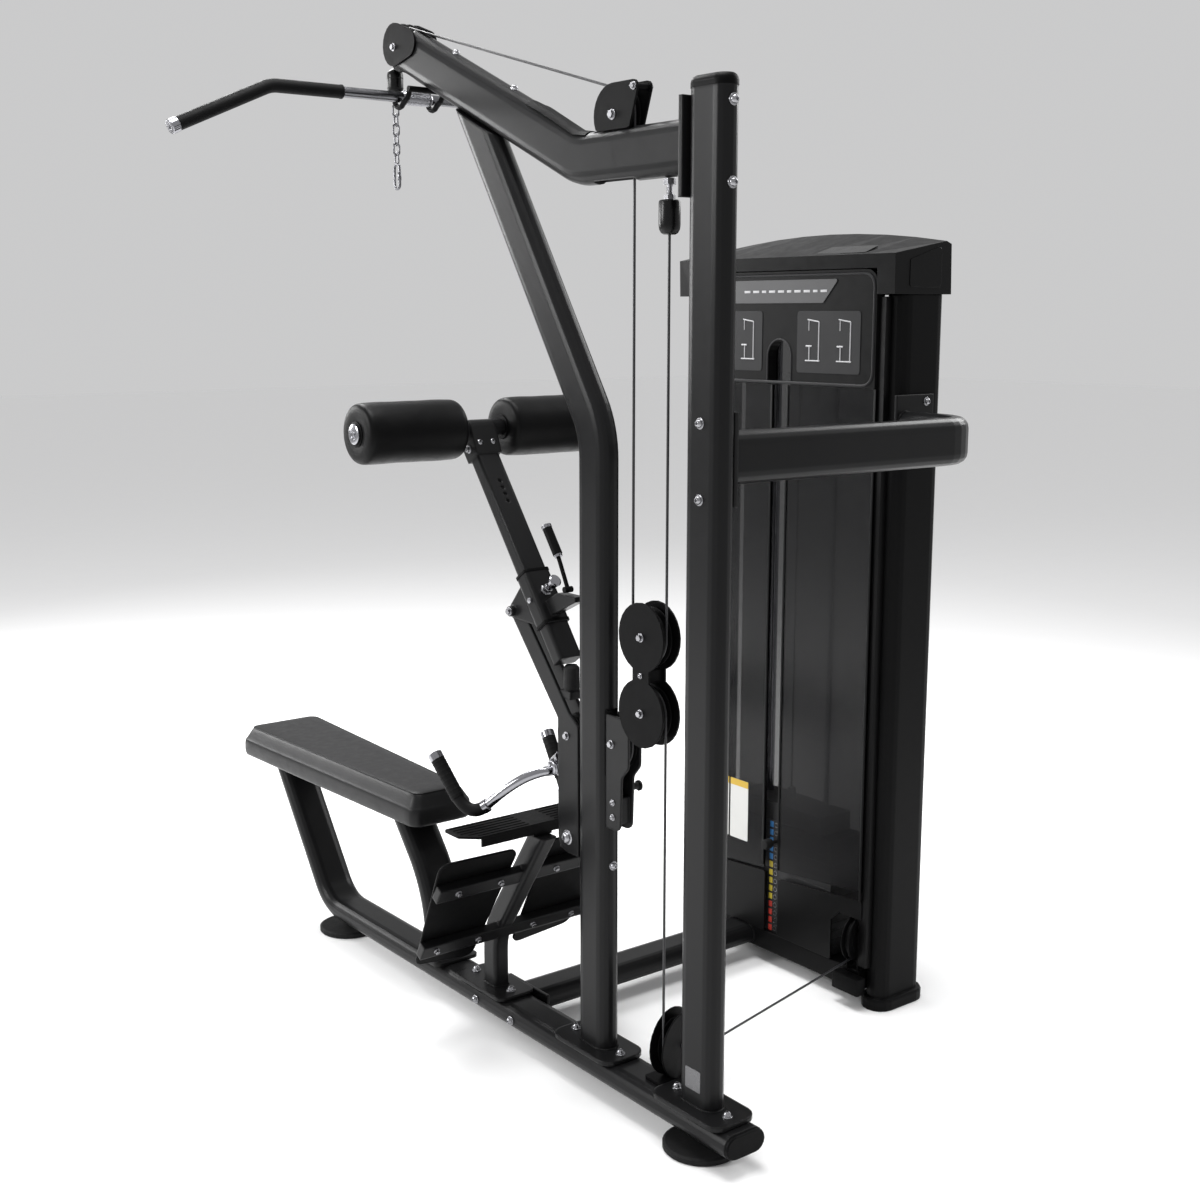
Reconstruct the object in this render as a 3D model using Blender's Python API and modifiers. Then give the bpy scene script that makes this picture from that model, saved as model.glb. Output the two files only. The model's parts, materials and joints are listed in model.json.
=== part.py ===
"""Combined lat pulldown and low row machine with its weight tower, in metres, +Z up.

The origin is on the floor under the rear post.  The seat lies towards -Y, the weight
tower stands at -X.  Every separate piece is its own named object.
"""
import bpy
import bmesh
from math import radians, pi, sin, cos, tan, atan2, sqrt
from mathutils import Vector, Matrix

GAP = 0.0003
TUBE_WIDE = 0.100
TUBE_NARROW = 0.050
CABLE_R = 0.0025

RAIL_Z = 0.060
RAIL_TOP = 0.085
PLATE_T = 0.010

POST_TOP = 2.012
MID_Y = -0.3325
MID_BEND_Z = 1.388
BOOM_Z = 1.9125
BOOM_BEND_Y = -0.381
BOOM_SLOPE = 0.443
BOOM_TIP_Y = -1.030

PULLEY_R = 0.045
FRONT_AXLE = (-1.045, 2.203)
REAR_AXLE = (-0.267, 1.986)
LAT_Y = -1.090
LOOP_R = 0.0512
LOOP_Y = -0.1708
BLOCK_TOP_Z = 1.000
BLOCK_LOW_Z = 0.848
ROW_REAR = (-0.270, 0.764)
ROW_REAR_R = 0.048
ROW_FRONT = (-0.418, 0.750)
ROW_FRONT_R = 0.039

SEAT_TOP = 0.500
SEAT_UNDER = 0.420
FOLD_PIVOT = (-0.598, 0.990)
ARM_REF = (-0.7284, 1.2912)
ARM_UP = (-0.601, 0.799)
ROLLER_AXLE = (-0.765, 1.371)
ROLLER_R = 0.0655

TOWER_X = -0.807
TOWER_NEAR_Y = -0.233
TOWER_MID_Y = -0.5565
TOWER_FAR_Y = -0.880
STACK_X = -0.783
ROD_X = -0.803
TOWER_TOP = 1.660
PANEL_X = -0.712

PARTS = "pulldown_row_machine"
CUTTERS = "pulldown_row_machine_cutters"

for old in list(bpy.data.objects):
    bpy.data.objects.remove(old, do_unlink=True)
parts = bpy.data.collections.new(PARTS)
cutters = bpy.data.collections.new(CUTTERS)
bpy.context.scene.collection.children.link(parts)
bpy.context.scene.collection.children.link(cutters)


def material(name, colour, metallic, roughness, alpha=1.0):
    mat = bpy.data.materials.new(name)
    mat.use_nodes = True
    node = mat.node_tree.nodes["Principled BSDF"]
    node.inputs["Base Color"].default_value = (*colour, 1.0)
    node.inputs["Metallic"].default_value = metallic
    node.inputs["Roughness"].default_value = roughness
    node.inputs["Alpha"].default_value = alpha
    mat.diffuse_color = (*colour, alpha)
    return mat


FRAME = material("charcoal_powder_coat", (0.060, 0.060, 0.062), 0.2, 0.42)
BLACK = material("black_plastic", (0.012, 0.012, 0.013), 0.0, 0.45)
RUBBER = material("black_rubber", (0.015, 0.015, 0.015), 0.0, 0.75)
CHROME = material("chrome", (0.60, 0.60, 0.62), 1.0, 0.12)
VINYL = material("seat_vinyl", (0.035, 0.035, 0.037), 0.0, 0.55)
SMOKED = material("smoked_panel", (0.020, 0.020, 0.022), 0.0, 0.20, 0.8)
STEEL = material("plate_steel", (0.030, 0.030, 0.032), 0.6, 0.45)
CABLE = material("coated_cable", (0.020, 0.020, 0.022), 0.0, 0.40)


# ---------------------------------------------------------------- outlines

def oval(wide_u, wide_v, steps=8):
    """Flat-oval tube outline, round at the ends of its longer direction."""
    r = min(wide_u, wide_v) / 2
    reach = max(wide_u, wide_v) / 2 - r
    points = []
    for end in (0, 1):
        for i in range(steps + 1):
            a = -pi / 2 + pi * i / steps + pi * end
            along = (reach if end == 0 else -reach) + r * cos(a)
            across = r * sin(a)
            points.append((along, across))
    if wide_u < wide_v:
        points = [(-b, a) for a, b in points]
    return points


def circle(r, steps=24, centre=(0.0, 0.0), start=0.0, stop=360.0):
    count = steps if stop - start >= 360 else steps + 1
    return [(centre[0] + r * cos(radians(start + (stop - start) * i / steps)),
             centre[1] + r * sin(radians(start + (stop - start) * i / steps)))
            for i in range(count)]


def rounded(corners, radius, steps=4):
    """Polygon with its corners rounded; radius may be a list, one per corner."""
    out = []
    count = len(corners)
    for i, corner in enumerate(corners):
        r = radius[i] if isinstance(radius, (list, tuple)) else radius
        here = Vector(corner)
        back = Vector(corners[i - 1]) - here
        on = Vector(corners[(i + 1) % count]) - here
        if r <= 0:
            out.append(tuple(here))
            continue
        out.extend(tuple(p) for p in arc_corner(here, back, on, r, steps))
    return out


def arc_corner(here, back, on, r, steps):
    b = back.normalized()
    n = on.normalized()
    half = b.angle(n) / 2
    reach = min(r / tan(half), back.length * 0.49, on.length * 0.49)
    r = reach * tan(half)
    centre = here + (b + n).normalized() * (r / sin(half))
    first = here + b * reach - centre
    last = here + n * reach - centre
    points = []
    for i in range(steps + 1):
        t = i / steps
        sweep = first.angle(last)
        w = (first * sin((1 - t) * sweep) + last * sin(t * sweep)) / sin(sweep)
        points.append(centre + w)
    return points


def path(points, radius, steps=8):
    """Open path in space with its inner corners rounded."""
    pts = [Vector(p) for p in points]
    out = [pts[0]]
    for i in range(1, len(pts) - 1):
        out.extend(arc_corner(pts[i], pts[i - 1] - pts[i], pts[i + 1] - pts[i], radius, steps))
    out.append(pts[-1])
    return out


def hull(points):
    """Convex outline round a set of 2D points, counter-clockwise."""
    pts = sorted(set((round(x, 7), round(y, 7)) for x, y in points))

    def half(seq):
        chain = []
        for p in seq:
            while len(chain) > 1 and ((chain[-1][0] - chain[-2][0]) * (p[1] - chain[-2][1])
                                      - (chain[-1][1] - chain[-2][1]) * (p[0] - chain[-2][0])) <= 1e-12:
                chain.pop()
            chain.append(p)
        return chain[:-1]

    return half(pts) + half(pts[::-1])


# ------------------------------------------------------------------ shapes

def finish(name, bm, mat, angle=32.0, cutter=False):
    bmesh.ops.recalc_face_normals(bm, faces=bm.faces)
    mesh = bpy.data.meshes.new(name)
    bm.to_mesh(mesh)
    bm.free()
    for face in mesh.polygons:
        face.use_smooth = True
    mesh.set_sharp_from_angle(angle=radians(angle))
    obj = bpy.data.objects.new(name, mesh)
    (cutters if cutter else parts).objects.link(obj)
    if cutter:
        obj.hide_render = True
        obj.display_type = "WIRE"
    else:
        mesh.materials.append(mat)
    return obj


def skin(name, rings, mat, angle=32.0, cutter=False):
    """Closed body drawn from one ring of points to the next."""
    bm = bmesh.new()
    slot = bm.verts.layers.int.new("slot")
    first = []
    for i, point in enumerate(rings[0]):
        vert = bm.verts.new(point)
        vert[slot] = i
        first.append(vert)
    face = bm.faces.new(first)
    for level, ring in enumerate(rings[1:]):
        inner = face
        made = bmesh.ops.extrude_face_region(bm, geom=[face])["geom"]
        face = [g for g in made if isinstance(g, bmesh.types.BMFace)][0]
        if level and inner.is_valid:
            bmesh.ops.delete(bm, geom=[inner], context="FACES_ONLY")
        for vert in face.verts:
            vert.co = ring[vert[slot]]
    bm.verts.layers.int.remove(bm.verts.layers.int["slot"])
    return finish(name, bm, mat, angle, cutter)


def sweep(name, outline, points, side, mat, ends=(None, None), cutter=False):
    """Section swept along a flat path; side is the direction square to the path's plane."""
    side = Vector(side).normalized()
    pts = [Vector(p) for p in points]
    rings = []
    last = len(pts) - 1
    for i, centre in enumerate(pts):
        t = (pts[i + 1] - centre if i < last else centre - pts[i - 1]).normalized()
        before = (centre - pts[i - 1]).normalized() if i > 0 else t
        cut = (t + before).normalized()
        if i == 0 and ends[0]:
            cut = Vector(ends[0])
        if i == last and ends[1]:
            cut = Vector(ends[1])
        m = side.cross(t)
        ring = []
        for u, v in outline:
            off = side * u + m * v
            off -= t * (off.dot(cut) / t.dot(cut))
            ring.append(centre + off)
        rings.append(ring)
    return skin(name, rings, mat, cutter=cutter)


def basis(axis):
    a = Vector(axis).normalized()
    ref = Vector((0, 0, 1)) if abs(a.z) < 0.9 else Vector((1, 0, 0))
    p = ref.cross(a).normalized()
    return a, p, a.cross(p)


def turned(name, origin, axis, profile, mat, steps=24, cutter=False):
    """Round body: profile is (distance along the axis, radius) pairs."""
    a, p, q = basis(axis)
    o = Vector(origin)
    rings = [[o + a * d + p * x + q * y for x, y in circle(r, steps)] for d, r in profile]
    return skin(name, rings, mat, cutter=cutter)


def slab(name, outline, plane, low, high, mat, cutter=False, chamfer=0.0):
    """Flat plate: outline in the named plane, thick from low to high along the third axis."""
    def place(a, b, c):
        return {"YZ": Vector((c, a, b)), "XY": Vector((a, b, c)), "XZ": Vector((a, c, b))}[plane]
    levels = [low, high]
    rings = [[place(a, b, c) for a, b in outline] for c in levels]
    obj = skin(name, rings, mat, cutter=cutter)
    if chamfer:
        bevel = obj.modifiers.new("edge", "BEVEL")
        bevel.width = chamfer
        bevel.segments = 1
        bevel.limit_method = "ANGLE"
        bevel.angle_limit = radians(50)
    return obj


def box(name, x0, x1, y0, y1, z0, z1, mat, radius=0.0, cutter=False, chamfer=0.0):
    corners = [(x0, y0), (x1, y0), (x1, y1), (x0, y1)]
    outline = rounded(corners, radius) if radius else corners
    return slab(name, outline, "XY", z0, z1, mat, cutter, chamfer)


def rod(name, points, radius, mat, cutter=False):
    """Round bar or cable through points in space."""
    curve = bpy.data.curves.new(name, "CURVE")
    curve.dimensions = "3D"
    curve.bevel_depth = radius
    curve.bevel_resolution = 2
    curve.use_fill_caps = True
    spline = curve.splines.new("POLY")
    spline.points.add(len(points) - 1)
    for i, p in enumerate(points):
        spline.points[i].co = (p[0], p[1], p[2], 1.0)
    temp = bpy.data.objects.new(name + "_line", curve)
    bpy.context.scene.collection.objects.link(temp)
    bpy.context.view_layer.update()
    graph = bpy.context.evaluated_depsgraph_get()
    mesh = bpy.data.meshes.new_from_object(temp.evaluated_get(graph))
    bm = bmesh.new()
    bm.from_mesh(mesh)
    bmesh.ops.remove_doubles(bm, verts=bm.verts, dist=0.00005)
    bpy.data.objects.remove(temp, do_unlink=True)
    bpy.data.curves.remove(curve)
    bpy.data.meshes.remove(mesh)
    return finish(name, bm, mat, cutter=cutter)


def combine(base, others, operation):
    """Join others onto base, or take them out of it."""
    for other in others:
        other.hide_render = True
        other.display_type = "WIRE"
        if parts in other.users_collection:
            parts.objects.unlink(other)
            cutters.objects.link(other)
        mod = base.modifiers.new(other.name, "BOOLEAN")
        mod.operation = operation
        mod.solver = "EXACT"
        mod.object = other
        other.parent = base
    return base


def weld(base, *others):
    return combine(base, others, "UNION")


def cut(base, *others):
    return combine(base, others, "DIFFERENCE")


def put_origin(obj, point, parent=None):
    """Move an object's origin to its joint and hang it from the piece that carries it."""
    point = Vector(point)
    obj.data.transform(Matrix.Translation(-point))
    obj.location = point
    for child in obj.children:
        child.matrix_parent_inverse = Matrix.Translation(-point)
    if parent:
        obj.parent = parent
        obj.matrix_parent_inverse = Matrix.Translation(-Vector(parent["joint_at"]))
    obj["joint_at"] = tuple(point)
    return obj


def yz(points, x=0.0):
    return [(x, y, z) for y, z in points]


def boom_centre(y):
    return BOOM_Z + BOOM_SLOPE * (BOOM_BEND_Y - y)


X_AXIS = (1, 0, 0)
up_len = sqrt(ARM_UP[0] ** 2 + ARM_UP[1] ** 2)
ARM_U = (ARM_UP[0] / up_len, ARM_UP[1] / up_len)
ARM_N = (ARM_U[1], -ARM_U[0])


def arm(s, n=0.0):
    """Point on the thigh arm, s below its reference point and n off its rear face side."""
    return (ARM_REF[0] - ARM_U[0] * s + ARM_N[0] * n, ARM_REF[1] - ARM_U[1] * s + ARM_N[1] * n)


# ------------------------------------------------- base rail, feet, seat legs

rail_path = path(yz([(0.120, RAIL_Z), (-1.473, RAIL_Z), (-1.7257, 0.400)]), 0.120, 10)
base_rail = sweep("base_rail", oval(TUBE_WIDE, TUBE_NARROW), rail_path, X_AXIS, FRAME)
weld(base_rail, box("seat_front_plate", -0.060, 0.060, -1.775, -1.640, 0.4005, 0.4197, FRAME, 0.012))

end_outline = oval(0.098, 0.048)
cap_rings = []
for y, k in ((0.1203, 1.0), (0.1255, 1.0), (0.1283, 0.93)):
    cap_rings.append([(u * (1 - (1 - k) * 0.5), y, RAIL_Z + v * k) for u, v in end_outline])
skin("rail_end_cap", cap_rings, BLACK)

FOOT = [(0.0, 0.0755), (0.0025, 0.078), (0.0115, 0.078), (0.0145, 0.073), (0.0150, 0.012), (0.0347, 0.012)]
turned("rear_foot", (0, 0, 0), (0, 0, 1), FOOT, RUBBER, 32)
turned("front_foot", (0, -1.425, 0), (0, 0, 1), FOOT, RUBBER, 32)

seat_leg_path = path(yz([(-0.935, 0.090), (-0.965, 0.265), (-1.094, 0.4160)]), 0.300, 8)
seat_rear_leg = sweep("seat_rear_leg", oval(TUBE_WIDE, TUBE_NARROW), seat_leg_path, X_AXIS, FRAME,
                      ends=((0, 0, 1), (0, 0, 1)))
weld(seat_rear_leg,
     box("seat_leg_foot", -0.060, 0.060, -0.990, -0.885, RAIL_TOP + GAP, 0.0935, FRAME, 0.015),
     box("seat_leg_head", -0.060, 0.060, -1.170, -1.020, 0.4115, 0.4197, FRAME, 0.012))


def seat_ring(z, inset):
    front = 0.120 - inset
    rear = 0.085 - inset
    corners = [(-front, -1.800 + inset), (front, -1.800 + inset), (rear, -0.935 - inset),
               (-rear, -0.935 - inset)]
    return [(x, y, z) for x, y in rounded(corners, max(0.030 - inset * 0.5, 0.015), 5)]


skin("seat_pad", [seat_ring(SEAT_UNDER, 0.012), seat_ring(0.428, 0.002), seat_ring(0.465, 0.0),
                  seat_ring(0.4965, 0.021), seat_ring(SEAT_TOP, 0.027)], VINYL)

# ------------------------------------------------------------------ posts

rear_post = sweep("rear_post", oval(TUBE_NARROW, TUBE_WIDE),
                  [(0, 0, 0.090), (0, 0, POST_TOP)], X_AXIS, FRAME)
weld(rear_post, box("rear_post_foot", -0.055, 0.055, -0.1035, 0.1035, RAIL_TOP + GAP,
                    RAIL_TOP + PLATE_T, FRAME, 0.030))

dome = []
for z, k in ((POST_TOP - 0.004, 1.03), (POST_TOP + 0.006, 1.03), (POST_TOP + 0.012, 0.94),
             (POST_TOP + 0.017, 0.72)):
    dome.append([(u * k, v * (1 - (1 - k) * 0.5), z) for u, v in oval(TUBE_NARROW, TUBE_WIDE)])
weld(rear_post, skin("rear_post_cap", dome, BLACK))

boom_dir = Vector((0, -1, BOOM_SLOPE)).normalized()
boom_up = Vector((0, BOOM_SLOPE, 1)).normalized()
lean = Vector((0, -0.5446, 0.8387))
drop = TUBE_WIDE / 2 + GAP
top_y = MID_Y
for _ in range(30):
    under = boom_centre(top_y) - drop / boom_up.z
    top_y = MID_Y + (under - MID_BEND_Z) * lean.y / lean.z
mid_top = (0, top_y, boom_centre(top_y) - drop / boom_up.z)
mid_path = path([(0, MID_Y, 0.090), (0, MID_Y, MID_BEND_Z), mid_top], 0.180, 8)
middle_post = sweep("middle_post", oval(TUBE_NARROW, 0.097), mid_path, X_AXIS, FRAME,
                    ends=(None, tuple(boom_up)))
weld(middle_post, box("middle_post_foot", -0.053, 0.053, -0.438, -0.235, RAIL_TOP + GAP,
                      RAIL_TOP + PLATE_T, FRAME, 0.030))
cut(middle_post, box("row_slot", -0.0145, 0.0145, -0.50, -0.20, 0.695, 0.832, FRAME, cutter=True))

# ------------------------------------------------------------- boom and head

boom_path = path(yz([(-0.058, BOOM_Z), (BOOM_BEND_Y, BOOM_Z),
                     (BOOM_TIP_Y, boom_centre(BOOM_TIP_Y))]), 0.150, 6)
boom = sweep("boom", oval(TUBE_NARROW, TUBE_WIDE), boom_path, X_AXIS, FRAME)
weld(boom, box("boom_flange", -0.031, 0.031, -0.0603, -0.0503, 1.823, 1.999, FRAME))
cut(boom,
    box("tip_slot", -0.0145, 0.0145, -1.20, -0.984, 2.00, 2.40, FRAME, cutter=True),
    box("cable_slot", -0.0060, 0.0060, -0.990, -0.930, 2.195, 2.40, FRAME, cutter=True),
    box("rear_pulley_slot", -0.0145, 0.0145, -0.328, -0.206, 1.80, 2.05, FRAME, cutter=True))


def lobe(centre, r, steps=20):
    return circle(r, steps, centre)


def pulley(name, centre, r, mat=BLACK, axis=X_AXIS, half=0.011, rim=0.007, hub=0.0):
    """Grooved wheel with a bore; r is the radius of the cable's centre line."""
    out = r + rim
    floor = r - CABLE_R - GAP
    shape = [(-half, out - 0.002), (-half + 0.0015, out), (-half + 0.004, out), (-0.0036, floor),
             (0.0036, floor), (half - 0.004, out), (half - 0.0015, out), (half, out - 0.002)]
    if hub:
        shape = [(-hub, 0.016), (-half, 0.016)] + shape + [(half, 0.016), (hub, 0.016)]
    wheel = turned(name, centre, axis, shape, mat, 32)
    cut(wheel, turned(name + "_bore", centre, axis, [(-0.04, 0.0063), (0.04, 0.0063)], mat, 12, True))
    return wheel


def axle_pin(name, centre, reach, axis=X_AXIS, mat=BLACK, r=0.006):
    return turned(name, centre, axis, [(-reach, r), (reach, r)], mat, 12)


def cheeks(name, outline, inner, outer, mat):
    """Pair of side plates facing each other across X = 0."""
    a = slab(name, outline, "YZ", inner, outer, mat)
    b = slab(name + "_far", outline, "YZ", -outer, -inner, mat)
    return a, b


front_outline = hull(lobe((-1.045, 2.2085), 0.0465) + lobe((-0.985, 2.205), 0.030))
a, b = cheeks("front_pulley_bracket", front_outline, 0.0253, 0.0293, BLACK)
weld(a, axle_pin("front_axle", (0, *FRONT_AXLE), 0.0275), b)

rear_outline = hull(lobe(REAR_AXLE, 0.057, 28) + lobe((-0.205, 2.030), 0.013, 12))
rear_outline = [(y, max(z, 1.9583)) for y, z in rear_outline]
rear_outline = hull(rear_outline)
a, b = cheeks("rear_pulley_bracket", rear_outline, 0.0147, 0.0187, BLACK)
weld(a, axle_pin("rear_axle", (0, *REAR_AXLE), 0.0170),
     axle_pin("ear_bolt", (0, -0.203, 2.031), 0.0170), b)

front_pulley = pulley("front_pulley", (0, *FRONT_AXLE), PULLEY_R)
rear_boom_pulley = pulley("rear_boom_pulley", (0, *REAR_AXLE), PULLEY_R)

turned("cable_anchor", (0, LOOP_Y + LOOP_R, 0), (0, 0, 1),
       [(1.762, 0.0165), (1.768, 0.0205), (1.821, 0.0205), (1.8235, 0.010), (1.832, 0.010),
        (1.8325, 0.005), (1.8495, 0.005), (1.850, 0.011), (1.8622, 0.011)], RUBBER, 20)

hook_line = [(-0.952, 2.1027), (-0.966, 2.085)]
hook_line += [(-1.0 + 0.0221 * cos(radians(a)), 2.090 + 0.0221 * sin(radians(a)))
              for a in (-42, -66, -90, -114, -138, -158)]
hook_a = rod("bar_hooks", yz(hook_line, 0.043), 0.0060, CHROME)
hook_b = rod("bar_hook_far", yz(hook_line, -0.043), 0.0060, CHROME)
weld(hook_a, turned("hook_cross_bar", (0, -0.952, 2.1027), X_AXIS,
                    [(-0.049, 0.0068), (0.049, 0.0068)], CHROME, 12), hook_b)

# ------------------------------------------------------ lat bar, end and chain

bar_bend = path([(0.185, -1.0, 2.090), (0.355, -1.0, 2.090), (0.580, -1.0, 1.990)], 0.070, 6)
lat_bar = turned("lat_bar", (0, -1.0, 2.090), X_AXIS,
                 [(-0.190, 0.0115), (-0.030, 0.0115), (-0.0295, 0.0155), (0.0295, 0.0155),
                  (0.030, 0.0115), (0.190, 0.0115)], CHROME, 20)
lat_grip_right = rod("lat_grip_right", bar_bend, 0.0135, RUBBER)
lat_grip_left = rod("lat_grip_left", [(-x, y, z) for x, y, z in bar_bend], 0.0135, RUBBER)
weld(lat_bar, lat_grip_right, lat_grip_left)
put_origin(lat_bar, (0, -1.0, 2.090))

lat_end = turned("lat_end_fitting", (0, LAT_Y, 0), (0, 0, 1),
                 [(2.1115, 0.015), (2.1160, 0.0185), (2.1500, 0.0185), (2.1650, 0.0065)], RUBBER, 20)

link = [(a, b) for a, b in oval(0.0150, 0.0270, 4)]
lat_chain = slab("lat_chain", [(LAT_Y + a, 2.0950 + b * 1.15) for a, b in link], "YZ", -0.003, 0.003, CHROME)
links = []
for i in range(6):
    z = 2.0680 - 0.0205 * i
    if i % 2 == 0:
        links.append(slab(f"chain_link_{i}", [(a, z + b) for a, b in link], "XZ",
                          LAT_Y - 0.002, LAT_Y + 0.002, CHROME))
    else:
        links.append(slab(f"chain_link_{i}", [(LAT_Y + a, z + b) for a, b in link], "YZ",
                          -0.002, 0.002, CHROME))
hook_shape = [(LAT_Y + a, 1.9230 + b) for a, b in oval(0.030, 0.062, 6)]
links.append(slab("snap_hook", hook_shape, "YZ", -0.004, 0.004, CHROME))
weld(lat_chain, *links)

# ----------------------------------------------- floating block and row pulleys

neck = 21.4
block_outline = circle(0.0685, 22, (LOOP_Y, BLOCK_TOP_Z), -90 + neck, 270 - neck)
block_outline += circle(0.0685, 22, (LOOP_Y, BLOCK_LOW_Z), 90 + neck, 450 - neck)
floating_block, far_cheek = cheeks("floating_block", block_outline, 0.0182, 0.0222, BLACK)
weld(floating_block, axle_pin("block_top_axle", (0, LOOP_Y, BLOCK_TOP_Z), 0.020),
     axle_pin("block_low_axle", (0, LOOP_Y, BLOCK_LOW_Z), 0.020),
     box("block_web", -0.020, 0.020, LOOP_Y - 0.018, LOOP_Y + 0.018, 0.912, 0.936, BLACK), far_cheek)
floating_upper = pulley("floating_pulley_upper", (0, LOOP_Y, BLOCK_TOP_Z), LOOP_R, hub=0.0179)
floating_lower = pulley("floating_pulley_lower", (0, LOOP_Y, BLOCK_LOW_Z), LOOP_R, hub=0.0179)

row_outline = rounded([(-0.2872, 0.585), (-0.240, 0.585), (-0.236, 0.700), (-0.214, 0.725),
                       (-0.214, 0.824), (-0.2872, 0.824)], [0.001, 0.018, 0.02, 0.02, 0.035, 0.001])
row_bracket, far_cheek = cheeks("row_pulley_bracket", row_outline, 0.0125, 0.0170, FRAME)
weld(row_bracket, axle_pin("row_rear_axle", (0, *ROW_REAR), 0.0150),
     box("row_bracket_web", -0.015, 0.015, -0.2825, -0.246, 0.600, 0.655, FRAME), far_cheek,
     turned("accessory_peg", (-0.015, -0.262, 0.668), (-1, 0, 0),
            [(0, 0.007), (0.031, 0.007), (0.0315, 0.011), (0.036, 0.011)], FRAME, 14))
row_pulley_rear = pulley("row_pulley_rear", (0, *ROW_REAR), ROW_REAR_R, rim=0.0045)

# ------------------------------------------------------- thigh support and arm

support_outline = circle(0.021, 8, FOLD_PIVOT, 35, 215)
support_outline += [(-0.4480, 0.7835), (-0.4480, 0.530)]
support_outline += circle(0.0335, 6, (-0.4145, 0.530), 190, 270)
support_outline += [(-0.3782, 0.4965), (-0.3782, 0.776), (-0.407, 0.798), (-0.484, 0.891)]
thigh_support, far_cheek = cheeks("thigh_support", support_outline, 0.0135, 0.0195, FRAME)
weld(thigh_support, far_cheek,
     box("support_web", -0.0165, 0.0165, -0.4450, -0.3815, 0.500, 0.560, FRAME),
     box("buffer_tab", -0.0165, 0.0165, -0.4430, -0.4080, 0.828, 0.8450, FRAME),
     axle_pin("row_front_axle", (0, *ROW_FRONT), 0.0165))
cut(thigh_support, turned("fold_bore", (0, *FOLD_PIVOT), X_AXIS,
                          [(-0.05, 0.0083), (0.05, 0.0083)], FRAME, 16, True))
row_pulley_front = pulley("row_pulley_front", (0, *ROW_FRONT), ROW_FRONT_R, rim=0.006)
turned("thigh_buffer", (0, -0.4255, 0), (0, 0, 1),
       [(0.8453, 0.0165), (0.850, 0.0170), (0.893, 0.0165), (0.8985, 0.0120)], RUBBER, 20)


def arm_ring(s, wide, thick, radius, steps=3):
    corners = [(-wide, -thick), (wide, -thick), (wide, thick), (-wide, thick)]
    return [(x, *arm(s, n)) for x, n in rounded(corners, radius, steps)]


thigh_tube = skin("thigh_tube", [arm_ring(s, 0.0285, 0.0180, 0.007) for s in (0.483, -0.065)], FRAME)
clamp_outline = hull(circle(0.019, 16, ROLLER_AXLE) + [arm(-0.020, -0.0215), arm(-0.020, 0.0215),
                                                       arm(-0.066, 0.0215), arm(-0.066, -0.0215)])
weld(thigh_tube, slab("roller_clamp", clamp_outline, "YZ", -0.0325, 0.0325, FRAME))
axle_shape = [(-0.3100, 0.018), (-0.3055, 0.022), (-0.3053, 0.010), (-0.0597, 0.010), (-0.0595, 0.017),
              (0.0595, 0.017), (0.0597, 0.010), (0.3053, 0.010), (0.3055, 0.022), (0.3100, 0.018)]
weld(thigh_tube, turned("roller_axle", (0, *ROLLER_AXLE), X_AXIS, axle_shape, CHROME, 20))
cut(thigh_tube, *[turned(f"height_hole_{i}", (0, *arm(0.050 + 0.017 * i, 0.014)), (0, *ARM_N),
                         [(0, 0.0045), (0.02, 0.0045)], FRAME, 10, True) for i in range(4)])

SIDE_ROLL = [(0.0600, 0.0560), (0.0625, 0.0625), (0.0670, ROLLER_R), (0.2980, ROLLER_R),
             (0.3025, 0.0625), (0.3050, 0.0560)]
rollers = []
for name, sign in (("roller_right", 1), ("roller_left", -1)):
    roller = turned(name, (0, *ROLLER_AXLE), (sign, 0, 0), SIDE_ROLL, RUBBER, 32)
    cut(roller, turned(name + "_bore", (0, *ROLLER_AXLE), X_AXIS, [(-0.33, 0.0103), (0.33, 0.0103)],
                       RUBBER, 16, True))
    rollers.append(roller)

thigh_sleeve = skin("thigh_sleeve", [arm_ring(s, 0.0322, 0.0215, 0.009) for s in (0.3995, 0.2706)], FRAME)
cut(thigh_sleeve, skin("sleeve_bore", [arm_ring(s, 0.0288, 0.0183, 0.007) for s in (0.45, 0.20)],
                       FRAME, cutter=True))
lug_outline = hull(circle(0.016, 14, FOLD_PIVOT) + [arm(0.290, -0.0205), arm(0.385, -0.0205)])
near_lug, far_lug = cheeks("fold_lug", lug_outline, 0.0200, 0.0262, FRAME)
lever_tab = [arm(0.385, 0.0203), (-0.396, 1.036), (-0.396, 1.046), (-0.462, 1.046), arm(0.350, 0.0203)]
weld(thigh_sleeve, near_lug, far_lug, slab("lever_tab", lever_tab, "YZ", -0.012, 0.012, FRAME),
     turned("fold_pin", (0, *FOLD_PIVOT), X_AXIS,
            [(-0.0375, 0.011), (-0.0265, 0.0125), (-0.0255, 0.0080), (0.0255, 0.0080), (0.0265, 0.0125),
             (0.0375, 0.011)], CHROME, 16))

height_pin = turned("height_pin", (0, *arm(0.326, 0.0)), (0, *ARM_N),
                    [(0.0218, 0.0085), (0.0400, 0.0085), (0.0402, 0.0050), (0.0490, 0.0050),
                     (0.0492, 0.0120), (0.0640, 0.0140), (0.0660, 0.0110)], CHROME, 16)
LEVER_PIVOT = (-0.4370, 1.0560)
lock_lever = rod("lock_lever", yz([LEVER_PIVOT, (-0.462, 1.105), (-0.478, 1.135)]), 0.0045, BLACK)
grip_dir = Vector((0, -0.513 + 0.471, 1.181 - 1.124)).normalized()
weld(lock_lever, turned("lever_grip", (0, -0.471, 1.124), grip_dir,
                        [(0.0, 0.0085), (0.002, 0.0105), (0.066, 0.0105), (0.0705, 0.0075)], BLACK, 14),
     turned("lever_barrel", (0, *LEVER_PIVOT), X_AXIS, [(-0.010, 0.0065), (0.010, 0.0065)], BLACK, 14))

# ------------------------------------------------------------------ foot rest

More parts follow.
